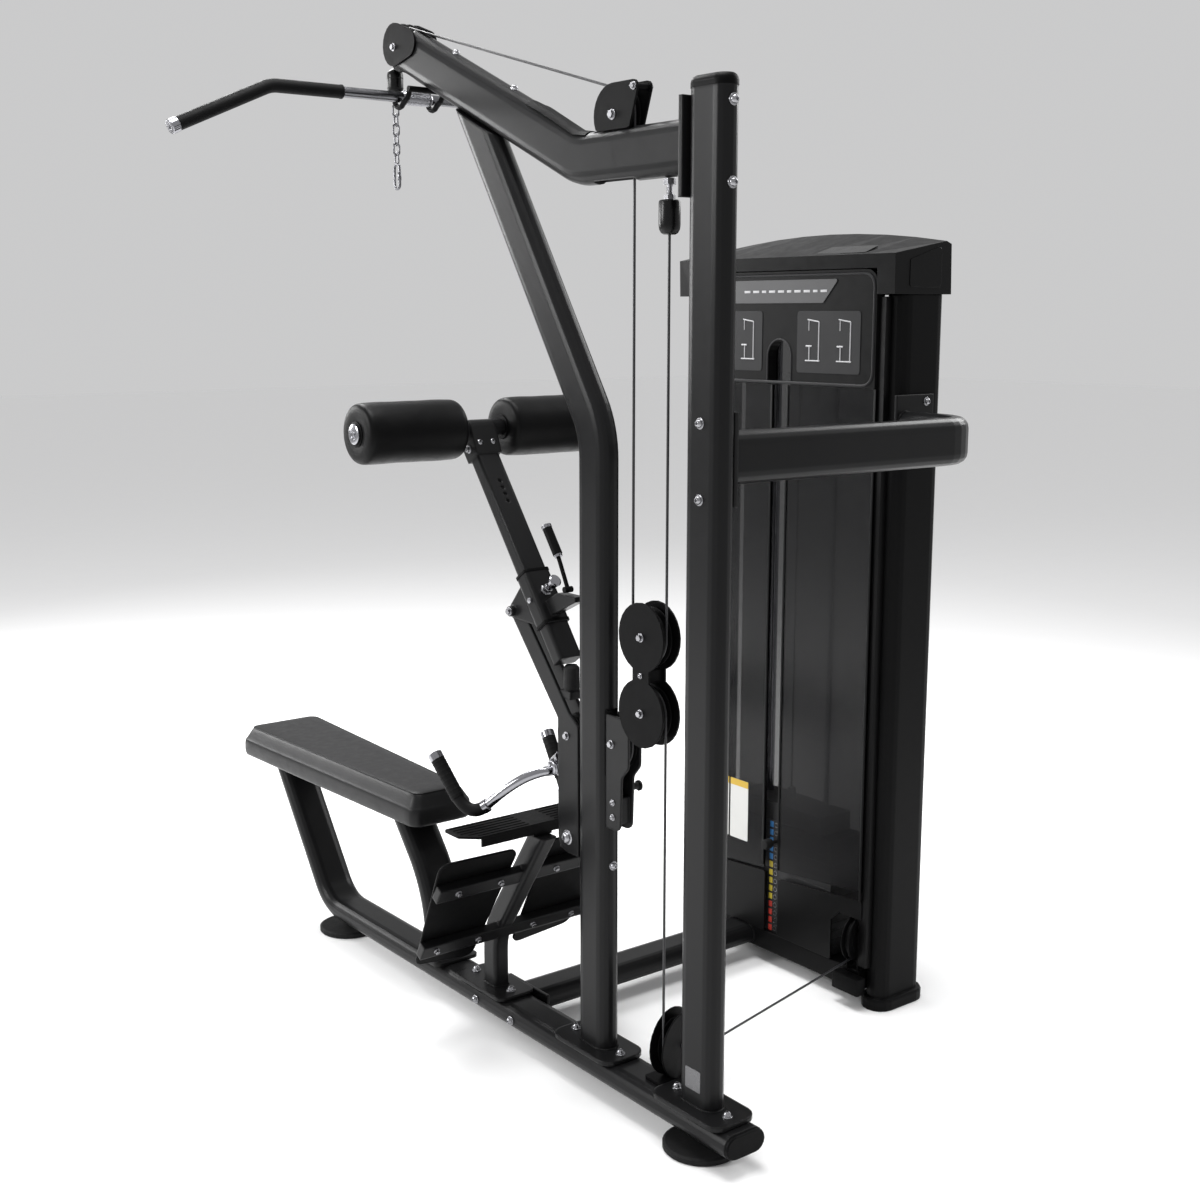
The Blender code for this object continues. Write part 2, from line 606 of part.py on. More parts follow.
rest_path = path(yz([(-0.7215, 0.090), (-0.7215, 0.220), (-0.5335, 0.499)]), 0.150, 6)
rest = sweep("foot_rest_frame", rounded([(-0.020, -0.026), (0.020, -0.026), (0.020, 0.026),
                                         (-0.020, 0.026)], 0.009, 3), rest_path, X_AXIS, FRAME,
             ends=(None, (0, 0, 1)))
BAR_HIGH = Vector((0, -0.595, 0.397))
BAR_LOW = Vector((0, -0.689, 0.235))
plane_up = (BAR_HIGH - BAR_LOW).normalized()
plane_out = Vector((0, -plane_up.z, plane_up.y))
for name, centre, reach in (("upper_bar", BAR_HIGH, 0.235), ("lower_bar", BAR_LOW, 0.222)):
    ring = [centre + plane_up * a + plane_out * b for a, b in
            ((-0.0185, -0.010), (0.0185, -0.010), (0.0185, 0.010), (-0.0185, 0.010))]
    weld(rest, skin(name, [[p + Vector((x, 0, 0)) for p in ring] for x in (-reach, reach)], FRAME))
weld(rest, box("foot_rest_foot", -0.050, 0.050, -0.830, -0.632, RAIL_TOP + GAP, RAIL_TOP + 0.008,
               FRAME, 0.020))


def foot_plate(name, sign):
    corners = [(0.055, -0.085), (0.212, -0.062), (0.243, 0.268), (0.040, 0.262)]
    rings = []
    for depth in (0.0103, 0.0153):
        base = BAR_LOW + plane_out * depth
        rings.append([base + Vector((sign * x, 0, 0)) + plane_up * s
                      for x, s in rounded(corners, 0.022, 4)])
    return skin(name, rings, BLACK)


foot_plate("foot_plate_right", 1)
foot_plate("foot_plate_left", -1)

tread = rounded([(0.200, -0.618), (0.200, -0.560), (0.165, -0.528), (-0.165, -0.528), (-0.200, -0.560),
                 (-0.200, -0.618)], [0.008, 0.006, 0.006, 0.006, 0.006, 0.008], 3)
foot_treads = slab("foot_treads", tread, "XY", 0.5245, 0.5300, BLACK)
weld(foot_treads, box("tread_seat", -0.024, 0.024, -0.565, -0.532, 0.4995, 0.5270, BLACK),
     box("tread_lip", -0.160, 0.160, -0.5335, -0.5285, 0.5060, 0.5265, BLACK))

# ------------------------------------------------------------------ row handle

handle_right = path([(0.0, -0.500, 0.655), (0.050, -0.535, 0.632), (0.100, -0.590, 0.574),
                     (0.130, -0.620, 0.5475), (0.1385, -0.650, 0.5755)], 0.020, 4)
row_handle = rod("row_handle", handle_right, 0.0105, CHROME)
handle_left = rod("handle_left", [(-x, y, z) for x, y, z in handle_right], 0.0105, CHROME)
weld(row_handle, turned("handle_eye", (0, -0.4935, 0.660), X_AXIS,
                        [(-0.006, 0.016), (0.006, 0.016)], CHROME, 16), handle_left,
     turned("row_end_fitting", (0, -0.4660, 0.6900), (0, -0.80, -0.60),
            [(0.0, 0.008), (0.003, 0.0125), (0.015, 0.0125), (0.0165, 0.0060), (0.034, 0.0060)],
            RUBBER, 16))
grip_start = Vector((0.1380, -0.6480, 0.5740))
grip_end = Vector((0.1520, -0.7260, 0.6650))
for name, sign in (("row_grip_right", 1), ("row_grip_left", -1)):
    start = Vector((sign * grip_start.x, grip_start.y, grip_start.z))
    end = Vector((sign * grip_end.x, grip_end.y, grip_end.z))
    reach = (end - start).length
    weld(row_handle, turned(name, start, end - start, [(0.0, 0.0130), (0.002, 0.0148),
                                                       (reach - 0.003, 0.0148), (reach, 0.0120)],
                            RUBBER, 18))

# ---------------------------------------------------- base pulley and low line

low_from = Vector((0, LOOP_Y + LOOP_R, 0))
TOWER_PULLEY = Vector((-0.735, -0.285, 0.160))
TOWER_PULLEY_R = 0.047
run = Vector((TOWER_PULLEY.x - low_from.x, TOWER_PULLEY.y - low_from.y, 0)).normalized()
run_axis = Vector((run.y, -run.x, 0))
BASE_PULLEY = low_from + run * PULLEY_R + Vector((0, 0, 0.158))
RISE = TOWER_PULLEY + run * TOWER_PULLEY_R

base_pulley = pulley("base_pulley", BASE_PULLEY, PULLEY_R, axis=run_axis)
guard = [(0.0140, 0.068), (0.0145, 0.0695), (0.0165, 0.0695), (0.0170, 0.068)]
base_bracket = turned("base_pulley_bracket", BASE_PULLEY, run_axis, guard, BLACK, 28)
weld(base_bracket, axle_pin("base_axle", BASE_PULLEY, 0.0155, run_axis),
     box("base_bracket_foot", -0.062, 0.016, -0.1600, -0.1080, RAIL_TOP + GAP, 0.0925, BLACK, 0.006),
     turned("base_guard_far", BASE_PULLEY, -run_axis, guard, BLACK, 28))

tower_pulley_low = pulley("tower_pulley_low", TOWER_PULLEY, TOWER_PULLEY_R, axis=run_axis)

# ----------------------------------------------------------------- weight tower

lower_cross = sweep("lower_cross_tube", oval(TUBE_WIDE, TUBE_NARROW),
                    [(-0.0560, -0.670, RAIL_Z), (-0.7217, -0.670, RAIL_Z)], (0, 1, 0), FRAME)
weld(lower_cross, box("cross_flange", -0.0590, -0.0505, -0.748, -0.592, 0.030, 0.090, FRAME))

arm_path = path([(-0.030, 0, 1.357), (-0.745, 0, 1.357), (-0.745, -0.198, 1.357)], 0.105, 8)
upper_arm = sweep("upper_arm", oval(TUBE_WIDE, TUBE_NARROW), arm_path, (0, 0, 1), FRAME)
weld(upper_arm, box("arm_flange", -0.0350, -0.0253, -0.038, 0.038, 1.270, 1.443, FRAME),
     box("arm_tower_flange", -0.836, -0.716, -0.2027, -0.1950, 1.282, 1.443, FRAME))

for name, y in (("tower_post_near", TOWER_NEAR_Y), ("tower_post_far", TOWER_FAR_Y)):
    post = sweep(name, oval(0.145, 0.060), [(TOWER_X, y, 0.0200), (TOWER_X, y, TOWER_TOP)], X_AXIS, FRAME)
    rings = []
    for z, k in ((0.0, 0.168), (0.022, 0.169), (0.028, 0.163)):
        rings.append([(TOWER_X + u, y + v, z) for u, v in oval(k, k - 0.088)])
    weld(post, skin(name + "_shoe", rings, RUBBER))

near_in = TOWER_NEAR_Y - 0.030 - GAP
far_in = TOWER_FAR_Y + 0.030 + GAP
tower_base = box("tower_base", -0.870, -0.722, far_in, near_in, 0.035, RAIL_TOP, FRAME)


def hanger(name, centre, axis, along, z0, z1, near, far, mat=FRAME, half=0.016):
    """One upright side plate of a pulley hanger, standing off its pulley along the axis."""
    rings = []
    for z in (z0, z1):
        base = Vector((centre.x, centre.y, 0)) + Vector((0, 0, z))
        rings.append([base + axis * a + along * b for a, b in
                      ((near, -half), (far, -half), (far, half), (near, half))])
    return skin(name, rings, mat)


weld(tower_base, hanger("low_hanger_a", TOWER_PULLEY, run_axis, run, 0.080, 0.178, 0.0125, 0.0160),
     axle_pin("low_axle", TOWER_PULLEY, 0.0140, run_axis),
     hanger("low_hanger_b", TOWER_PULLEY, run_axis, run, 0.080, 0.178, -0.0160, -0.0125))

TOP_Z = 1.560
TOP_R = 0.045
TOP_NEAR = Vector((RISE.x, RISE.y - TOP_R, TOP_Z))
TOP_FAR = Vector((RISE.x, TOWER_MID_Y + TOP_R, TOP_Z))
top_beam = box("top_beam", -0.860, -0.745, far_in, near_in, 1.618, 1.655, FRAME)
for tag, centre in (("near", TOP_NEAR), ("far", TOP_FAR)):
    for sign in (1, -1):
        near_off, far_off = sorted((sign * 0.0125, sign * 0.0160))
        weld(top_beam, hanger(f"top_hanger_{tag}_{sign + 1}", centre, Vector(X_AXIS), Vector((0, 1, 0)),
                              1.540, 1.625, near_off, far_off))
    weld(top_beam, axle_pin(f"top_axle_{tag}", centre, 0.0140))
top_pulley_near = pulley("top_pulley_near", TOP_NEAR, TOP_R)
top_pulley_far = pulley("top_pulley_far", TOP_FAR, TOP_R)

ROD_Y = (TOWER_MID_Y + 0.100, TOWER_MID_Y - 0.100)
for name, y in (("guide_rod_near", ROD_Y[0]), ("guide_rod_far", ROD_Y[1])):
    turned(name, (ROD_X, y, 0), (0, 0, 1), [(RAIL_TOP + GAP, 0.0095), (1.6177, 0.0095)], CHROME, 16)

PLATE_PITCH = 0.0208
STACK_Z = RAIL_TOP + GAP


def plate_rings(z0, count, wide, deep):
    rings = []
    for i in range(count):
        low = z0 + PLATE_PITCH * i
        for z, inset in ((low, 0.0012), (low + 0.0010, 0.0), (low + PLATE_PITCH - 0.0010, 0.0),
                         (low + PLATE_PITCH, 0.0012)):
            if i and z == low:
                continue
            rings.append([(STACK_X + a, TOWER_MID_Y + b, z) for a, b in
                          ((-deep + inset, -wide + inset), (deep - inset, -wide + inset),
                           (deep - inset, wide - inset), (-deep + inset, wide - inset))])
    return rings


def rod_holes(name):
    return [turned(f"{name}_hole_{i}", (ROD_X, y, 0), (0, 0, 1), [(0.02, 0.0105), (0.60, 0.0105)],
                   STEEL, 16, True) for i, y in enumerate(ROD_Y)]


resting = skin("resting_plates", plate_rings(STACK_Z, 11, 0.190, 0.053), STEEL)
cut(resting, *rod_holes("resting"))
SPLIT_Z = STACK_Z + 11 * PLATE_PITCH + GAP
lifted = skin("lifted_plates", plate_rings(SPLIT_Z, 3, 0.190, 0.053), STEEL)
BLOCK_Z = SPLIT_Z + 3 * PLATE_PITCH
weld(lifted, box("top_block", STACK_X - 0.050, STACK_X + 0.050, TOWER_MID_Y - 0.150, TOWER_MID_Y + 0.150,
                 BLOCK_Z - 0.001, BLOCK_Z + 0.046, STEEL),
     turned("stem", (RISE.x, TOWER_MID_Y, 0), (0, 0, 1), [(BLOCK_Z + 0.040, 0.011), (0.4470, 0.011),
                                                         (0.4580, 0.0085)], STEEL, 14))
cut(lifted, *rod_holes("lifted"))
PIN_Z = SPLIT_Z + PLATE_PITCH * 0.5
selector_pin = turned("selector_pin", (STACK_X + 0.053, TOWER_MID_Y, PIN_Z), X_AXIS,
                      [(0.0003, 0.0045), (0.0180, 0.0045), (0.0182, 0.0110), (0.0380, 0.0125),
                       (0.0420, 0.0095)], RUBBER, 18)

# ------------------------------------------------------- covers and front plate

STRIP = 0.0235
front = PANEL_X
for name, y0, y1 in (("shroud_near", TOWER_MID_Y + STRIP, near_in + 0.0105),
                     ("shroud_far", far_in - 0.0105, TOWER_MID_Y - STRIP)):
    slant = 0.055
    lower = [0.230 + slant * (y - far_in) / (near_in - far_in) for y in (y0, y1)]
    outline = [(y0, lower[0]), (y1, lower[1]), (y1, 1.4540), (y0, 1.4540)]
    slab(name, outline, "YZ", front - 0.005, front, SMOKED)
box("rear_shroud", -0.8845, -0.8805, far_in - 0.006, near_in + 0.006, 0.0900, 1.6550, SMOKED)

slot_half = 0.0375
PLAC = (-0.2550, -0.8580)
plac = [(PLAC[1], 1.4545), (TOWER_MID_Y - slot_half, 1.4545)]
plac += [(TOWER_MID_Y - slot_half * cos(radians(a)), 1.5200 + slot_half * sin(radians(a)))
         for a in range(0, 181, 20)]
plac += [(TOWER_MID_Y + slot_half, 1.4545), (PLAC[0], 1.4545)]
plac += [(PLAC[0] - 0.030 + 0.030 * cos(radians(a)), 1.6850 + 0.030 * sin(radians(a)))
         for a in range(0, 91, 18)]
plac += [(PLAC[1] + 0.030 + 0.030 * cos(radians(a)), 1.6850 + 0.030 * sin(radians(a)))
         for a in range(90, 181, 18)]
slab("placard", plac, "YZ", -0.7330, -0.7080, BLACK)

cap_rings = []
CAP_Y = (-0.9130, -0.2010)
for i in range(9):
    t = -1 + i / 4
    y = (CAP_Y[0] + CAP_Y[1]) / 2 + (CAP_Y[1] - CAP_Y[0]) / 2 * t
    arch = 1 - t * t
    crown = 1.776 + 0.027 * arch
    cap_rings.append([(-0.705, y, TOWER_TOP + GAP), (-0.703 + 0.004 * arch, y, 1.747),
                      (-0.868, y, crown), (-0.884, y, crown - 0.006), (-0.888, y, TOWER_TOP + GAP)])
tower_cap = skin("tower_cap", cap_rings, BLACK, angle=25)
cut(tower_cap, box("placard_recess", -0.7345, -0.650, PLAC[1] - 0.002, PLAC[0] + 0.002, 1.60, 1.7165,
                   BLACK, cutter=True))

# --------------------------------------------------------------------- cables


def arc_yz(centre, r, start, stop, steps, x=0.0):
    return [(x, centre[0] + r * cos(radians(start + (stop - start) * i / steps)),
             centre[1] + r * sin(radians(start + (stop - start) * i / steps))) for i in range(steps + 1)]


def arc_run(centre, r, start, stop, steps):
    out = []
    for i in range(steps + 1):
        a = radians(start + (stop - start) * i / steps)
        out.append(centre + run * (r * cos(a)) + Vector((0, 0, r * sin(a))))
    return out


fall = atan2(FRONT_AXLE[1] - REAR_AXLE[1], REAR_AXLE[0] - FRONT_AXLE[0])
tilt = 90 - fall * 180 / pi
lat_points = [(0, LAT_Y, 2.1653)]
lat_points += arc_yz(FRONT_AXLE, PULLEY_R, 180, tilt, 9)
lat_points += arc_yz(REAR_AXLE, PULLEY_R, tilt, 0, 7)
lat_points += arc_yz((LOOP_Y, BLOCK_TOP_Z), LOOP_R, -180, 0, 14)
lat_points += [(0, LOOP_Y + LOOP_R, 1.7617)]
rod("lat_cable", lat_points, CABLE_R, CABLE)

row_points = [(0, -0.4655, 0.6905), (0, -0.448, 0.7020), (0, -0.433, 0.7090)]
row_points += [(0, ROW_FRONT[0], ROW_FRONT[1] - ROW_FRONT_R)]
row_points += arc_yz(ROW_REAR, ROW_REAR_R, -90, 0, 7)
row_points += arc_yz((LOOP_Y, BLOCK_LOW_Z), LOOP_R, 180, 0, 14)
row_points += arc_run(BASE_PULLEY, PULLEY_R, 180, 270, 7)
row_points += arc_run(TOWER_PULLEY, TOWER_PULLEY_R, -90, 0, 7)
row_points += arc_yz((TOP_NEAR.y, TOP_NEAR.z), TOP_R, 0, 90, 6, RISE.x)
row_points += arc_yz((TOP_FAR.y, TOP_FAR.z), TOP_R, 90, 180, 6, RISE.x)
row_points += [(RISE.x, TOWER_MID_Y, 0.4583)]
rod("row_cable", row_points, CABLE_R, CABLE)

# ------------------------------------------------ origins on the joint axes

put_origin(floating_block, (0, LOOP_Y, BLOCK_TOP_Z))
put_origin(floating_upper, (0, LOOP_Y, BLOCK_TOP_Z), floating_block)
put_origin(floating_lower, (0, LOOP_Y, BLOCK_LOW_Z), floating_block)
put_origin(front_pulley, (0, *FRONT_AXLE))
put_origin(rear_boom_pulley, (0, *REAR_AXLE))
put_origin(row_pulley_rear, (0, *ROW_REAR))
put_origin(row_pulley_front, (0, *ROW_FRONT))
put_origin(base_pulley, BASE_PULLEY)
put_origin(tower_pulley_low, TOWER_PULLEY)
put_origin(top_pulley_near, TOP_NEAR)
put_origin(top_pulley_far, TOP_FAR)
put_origin(lat_end, (0, LAT_Y, 2.165))
put_origin(lat_chain, (0, LAT_Y, 2.110), lat_end)
put_origin(row_handle, (0, -0.500, 0.655))
put_origin(thigh_sleeve, (0, *FOLD_PIVOT))
put_origin(thigh_tube, (0, *arm(0.0)), thigh_sleeve)
for roller in rollers:
    put_origin(roller, (0, *ROLLER_AXLE), thigh_tube)
put_origin(height_pin, (0, *arm(0.326)), thigh_sleeve)
put_origin(lock_lever, (0, *LEVER_PIVOT), thigh_sleeve)
put_origin(lifted, (STACK_X, TOWER_MID_Y, SPLIT_Z))
put_origin(selector_pin, (STACK_X + 0.053, TOWER_MID_Y, PIN_Z), lifted)
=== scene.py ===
import json
import math
from math import cos, pi, radians, sin, sqrt
import bpy
import bmesh
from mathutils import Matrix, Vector, noise


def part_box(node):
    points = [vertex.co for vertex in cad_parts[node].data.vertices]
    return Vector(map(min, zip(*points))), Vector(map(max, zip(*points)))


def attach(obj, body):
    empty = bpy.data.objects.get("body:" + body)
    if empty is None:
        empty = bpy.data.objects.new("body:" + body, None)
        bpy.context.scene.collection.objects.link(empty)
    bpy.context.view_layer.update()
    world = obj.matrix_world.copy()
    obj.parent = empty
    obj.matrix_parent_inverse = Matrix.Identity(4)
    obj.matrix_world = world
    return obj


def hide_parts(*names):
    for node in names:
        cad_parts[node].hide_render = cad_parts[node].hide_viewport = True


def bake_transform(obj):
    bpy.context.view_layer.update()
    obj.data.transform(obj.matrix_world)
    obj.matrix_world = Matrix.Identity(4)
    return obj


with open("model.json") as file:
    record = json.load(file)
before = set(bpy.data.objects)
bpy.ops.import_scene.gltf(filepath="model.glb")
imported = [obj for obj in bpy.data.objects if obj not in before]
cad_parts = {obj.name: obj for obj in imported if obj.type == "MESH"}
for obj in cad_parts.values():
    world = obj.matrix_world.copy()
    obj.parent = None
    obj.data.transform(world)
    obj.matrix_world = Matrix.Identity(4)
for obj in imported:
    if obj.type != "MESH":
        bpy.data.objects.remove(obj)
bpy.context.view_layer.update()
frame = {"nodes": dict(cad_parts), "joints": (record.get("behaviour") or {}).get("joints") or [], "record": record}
nodes = frame["nodes"]
scene = bpy.context.scene

X_AXIS = Vector((1, 0, 0))
Y_AXIS = Vector((0, 1, 0))
Z_AXIS = Vector((0, 0, 1))
joints = {j["name"]: j for j in frame["joints"]}


# ------------------------------------------------------------------ materials

DRIFT_SCALE = 7.0      # slow colour drift, in noise cells per metre
PATCH_SCALE = 38.0     # patches of differing gloss
SCUFF_SCALE = 160.0    # thin pale marks
RELIEF_DEPTH = 0.0006  # height of the fine relief


def surface(name, colour, rough, metallic=0.0, grain=900.0, bump=0.12, spread=0.08, tint=0.25,
            alpha=1.0, edge=0.0015, cells=False, scuff=0.0, specular=0.5):
    """Node material with colour drift, roughness drift, fine relief and softened edges.

    tint and spread are how far colour and roughness drift either way, grain is the scale of the fine
    relief, edge is the radius in metres that rounds sharp edges in the shading, and scuff is how strongly
    thin pale marks show.
    """
    mat = bpy.data.materials.new(name)
    mat.use_nodes = True
    tree = mat.node_tree
    bsdf = tree.nodes["Principled BSDF"]
    link = tree.links.new
    coord = tree.nodes.new("ShaderNodeTexCoord")

    drift = tree.nodes.new("ShaderNodeTexNoise")
    drift.inputs["Scale"].default_value = DRIFT_SCALE
    drift.inputs["Detail"].default_value = 5.0
    link(coord.outputs["Object"], drift.inputs["Vector"])
    ramp = tree.nodes.new("ShaderNodeMix")
    ramp.data_type = "RGBA"
    ramp.inputs["A"].default_value = (*[c * (1 - tint) for c in colour], 1)
    ramp.inputs["B"].default_value = (*[min(1.0, c * (1 + tint)) for c in colour], 1)
    link(drift.outputs["Fac"], ramp.inputs["Factor"])

    fine = tree.nodes.new("ShaderNodeTexVoronoi" if cells else "ShaderNodeTexNoise")
    fine.inputs["Scale"].default_value = grain
    link(coord.outputs["Object"], fine.inputs["Vector"])
    fine_out = fine.outputs["Distance" if cells else "Fac"]

    patch = tree.nodes.new("ShaderNodeTexNoise")
    patch.inputs["Scale"].default_value = PATCH_SCALE
    patch.inputs["Detail"].default_value = 8.0
    patch.inputs["Roughness"].default_value = 0.65
    link(coord.outputs["Object"], patch.inputs["Vector"])
    gloss = tree.nodes.new("ShaderNodeMapRange")
    gloss.inputs["From Min"].default_value = 0.3
    gloss.inputs["From Max"].default_value = 0.7
    gloss.inputs["To Min"].default_value = max(0.02, rough - spread)
    gloss.inputs["To Max"].default_value = min(1.0, rough + spread)
    link(patch.outputs["Fac"], gloss.inputs["Value"])
    link(gloss.outputs["Result"], bsdf.inputs["Roughness"])

    out_colour = ramp.outputs["Result"]
    if scuff:
        thin = tree.nodes.new("ShaderNodeTexNoise")
        thin.inputs["Scale"].default_value = SCUFF_SCALE
        thin.inputs["Detail"].default_value = 10.0
        stretch = tree.nodes.new("ShaderNodeMapping")
        stretch.inputs["Scale"].default_value = (1.0, 0.18, 1.0)
        link(coord.outputs["Object"], stretch.inputs["Vector"])
        link(stretch.outputs["Vector"], thin.inputs["Vector"])
        cut = tree.nodes.new("ShaderNodeMapRange")
        cut.inputs["From Min"].default_value = 0.66
        cut.inputs["From Max"].default_value = 0.74
        cut.inputs["To Max"].default_value = scuff
        link(thin.outputs["Fac"], cut.inputs["Value"])
        worn = tree.nodes.new("ShaderNodeMix")
        worn.data_type = "RGBA"
        worn.inputs["B"].default_value = (*[min(1.0, c * 2.2 + 0.01) for c in colour], 1)
        link(cut.outputs["Result"], worn.inputs["Factor"])
        link(out_colour, worn.inputs["A"])
        out_colour = worn.outputs["Result"]
    link(out_colour, bsdf.inputs["Base Color"])

    relief = tree.nodes.new("ShaderNodeBump")
    relief.inputs["Strength"].default_value = bump
    relief.inputs["Distance"].default_value = RELIEF_DEPTH
    link(fine_out, relief.inputs["Height"])
    if edge:
        soft = tree.nodes.new("ShaderNodeBevel")
        soft.samples = 6
        soft.inputs["Radius"].default_value = edge
        link(soft.outputs["Normal"], relief.inputs["Normal"])
    link(relief.outputs["Normal"], bsdf.inputs["Normal"])
    bsdf.inputs["Metallic"].default_value = metallic
    bsdf.inputs["Alpha"].default_value = alpha
    bsdf.inputs["Specular IOR Level"].default_value = specular
    return mat


FRAME = surface("powder_coat", (0.0080, 0.0080, 0.0084), 0.30, grain=1400, bump=0.10, spread=0.025,
                tint=0.12, scuff=0.06, specular=0.145, edge=0.006)
BLACK = surface("black_plastic", (0.0026, 0.0026, 0.0028), 0.46, grain=1100, bump=0.16, spread=0.06,
                tint=0.3, scuff=0.10, specular=0.06)
PANEL = surface("black_panel", (0.0038, 0.0038, 0.004), 0.36, grain=700, bump=0.05, spread=0.06,
                tint=0.2, scuff=0.08, specular=0.11)
RUBBER = surface("rubber", (0.005, 0.005, 0.0053), 0.70, grain=600, bump=0.30, spread=0.10, tint=0.3,
                 specular=0.25)
GRIP = surface("grip_rubber", (0.0028, 0.0028, 0.003), 0.58, grain=420, bump=0.35, spread=0.08,
               tint=0.3, cells=True, specular=0.12)
FOAM = surface("roller_skin", (0.0024, 0.0024, 0.0026), 0.42, grain=520, bump=0.20, spread=0.06,
               tint=0.25, cells=True, edge=0, specular=0.11)
VINYL = surface("seat_vinyl", (0.0065, 0.0065, 0.007), 0.38, grain=620, bump=0.16, spread=0.07,
                tint=0.2, cells=True, edge=0, specular=0.20)
CHROME = surface("chrome", (0.31, 0.31, 0.33), 0.18, metallic=1.0, grain=300, bump=0.004, spread=0.06,
                 tint=0.08, edge=0.0008)
ZINC = surface("zinc_bolt", (0.32, 0.32, 0.335), 0.27, metallic=1.0, grain=500, bump=0.02, spread=0.10,
               tint=0.12, edge=0.0008)
STEEL = surface("plate_steel", (0.012, 0.012, 0.013), 0.50, metallic=0.2, grain=900, bump=0.20,
                spread=0.12, tint=0.3, scuff=0.25)
SMOKED = surface("smoked_panel", (0.006, 0.006, 0.0065), 0.24, grain=60, bump=0.01, spread=0.05,
                 tint=0.2, alpha=0.74, edge=0, specular=0.2)
REAR_SMOKED = surface("rear_smoked", (0.008, 0.008, 0.0085), 0.26, grain=60, bump=0.01, spread=0.05,
                      tint=0.2, alpha=0.66, edge=0, specular=0.25)
CABLE = surface("coated_cable", (0.016, 0.016, 0.018), 0.38, grain=900, bump=0.10, spread=0.08,
                tint=0.2, edge=0)
PLATE_GREY = surface("title_grey", (0.032, 0.032, 0.034), 0.40, grain=500, bump=0.05, spread=0.06,
                     tint=0.15)
SLEEVE = surface("moulded_sleeve", (0.003, 0.003, 0.0032), 0.28, grain=500, bump=0.06, spread=0.08,
                 tint=0.3, specular=0.22)
BAR_STEEL = surface("bar_steel", (0.17, 0.17, 0.18), 0.24, metallic=1.0, grain=300, bump=0.004,
                    spread=0.06, tint=0.08, edge=0.0008)
LINK = surface("chain_zinc", (0.15, 0.15, 0.16), 0.26, metallic=1.0, grain=400, bump=0.01, spread=0.10,
               tint=0.15, edge=0)
GLOSS = surface("gloss_blank", (0.0015, 0.0015, 0.0016), 0.22, grain=300, bump=0.03, spread=0.05,
                tint=0.2, specular=0.15)
# the frame's powder coat made darker for the tower posts, base and top beam: painted shade
SHADED_TOWER_COAT = surface("tower_coat_painted_shade", (0.0040, 0.0040, 0.0042), 0.36, grain=1400, bump=0.10, spread=0.03,
                tint=0.12, scuff=0.05, specular=0.065, edge=0.006)
FIELD = surface("field_dark", (0.022, 0.022, 0.023), 0.40, grain=500, bump=0.04, spread=0.06, tint=0.15,
                specular=0.15)
PALE = surface("pale_print", (0.42, 0.42, 0.43), 0.45, grain=500, bump=0.03, spread=0.06, tint=0.1,
               edge=0)
WHITE = surface("blank_label", (0.62, 0.62, 0.60), 0.40, grain=400, bump=0.03, spread=0.06, tint=0.06,
                edge=0)
YELLOW = surface("yellow_band", (0.55, 0.36, 0.03), 0.42, grain=400, bump=0.03, spread=0.06, tint=0.12,
                 edge=0)
BLUE_TAG = surface("blue_tag", (0.02, 0.12, 0.30), 0.45, grain=400, bump=0.05, spread=0.06, tint=0.15,
                   edge=0)
YELLOW_TAG = surface("yellow_tag", (0.42, 0.33, 0.03), 0.45, grain=400, bump=0.05, spread=0.06,
                     tint=0.15, edge=0)
RED_TAG = surface("red_tag", (0.36, 0.03, 0.02), 0.45, grain=400, bump=0.05, spread=0.06, tint=0.15,
                  edge=0)
ALLOY = surface("brushed_alloy", (0.16, 0.16, 0.165), 0.30, metallic=1.0, grain=240, bump=0.06,
                spread=0.12, tint=0.15, edge=0.0006)

# looks of the CAD nodes: by material slot first, then the nodes that differ from their slot
BY_SLOT = {"frame": FRAME, "black_plastic": BLACK, "rubber": RUBBER, "chrome": CHROME, "plate_steel": STEEL,
           "smoked_panel": SMOKED, "seat_vinyl": VINYL, "cable": CABLE}
for sub in frame["record"]["subparts"]:
    node = nodes[sub["node"]]
    node.data.materials.clear()
    node.data.materials.append(BY_SLOT[sub["material_slot"]])
for node in nodes.values():
    for face in node.data.polygons:
        face.use_smooth = True
# the tower posts, base and top beam take the darker copy of the frame paint, which is painted shade
for name, mat in (("rear_shroud", REAR_SMOKED), ("placard", PANEL), ("tower_cap", PANEL),
                  ("tower_post_near", SHADED_TOWER_COAT), ("tower_post_far", SHADED_TOWER_COAT), ("tower_base", SHADED_TOWER_COAT),
                  ("top_beam", SHADED_TOWER_COAT), ("upper_arm", FRAME), ("bar_hooks", BLACK), ("lat_bar", BAR_STEEL),
                  ("lower_cross_tube", FRAME)):
    nodes[name].data.materials.clear()
    nodes[name].data.materials.append(mat)


# ------------------------------------------------------------------ mesh tools

HEAD_SHARE = 0.80  # radius of a bolt's head, as a share of the radius asked for


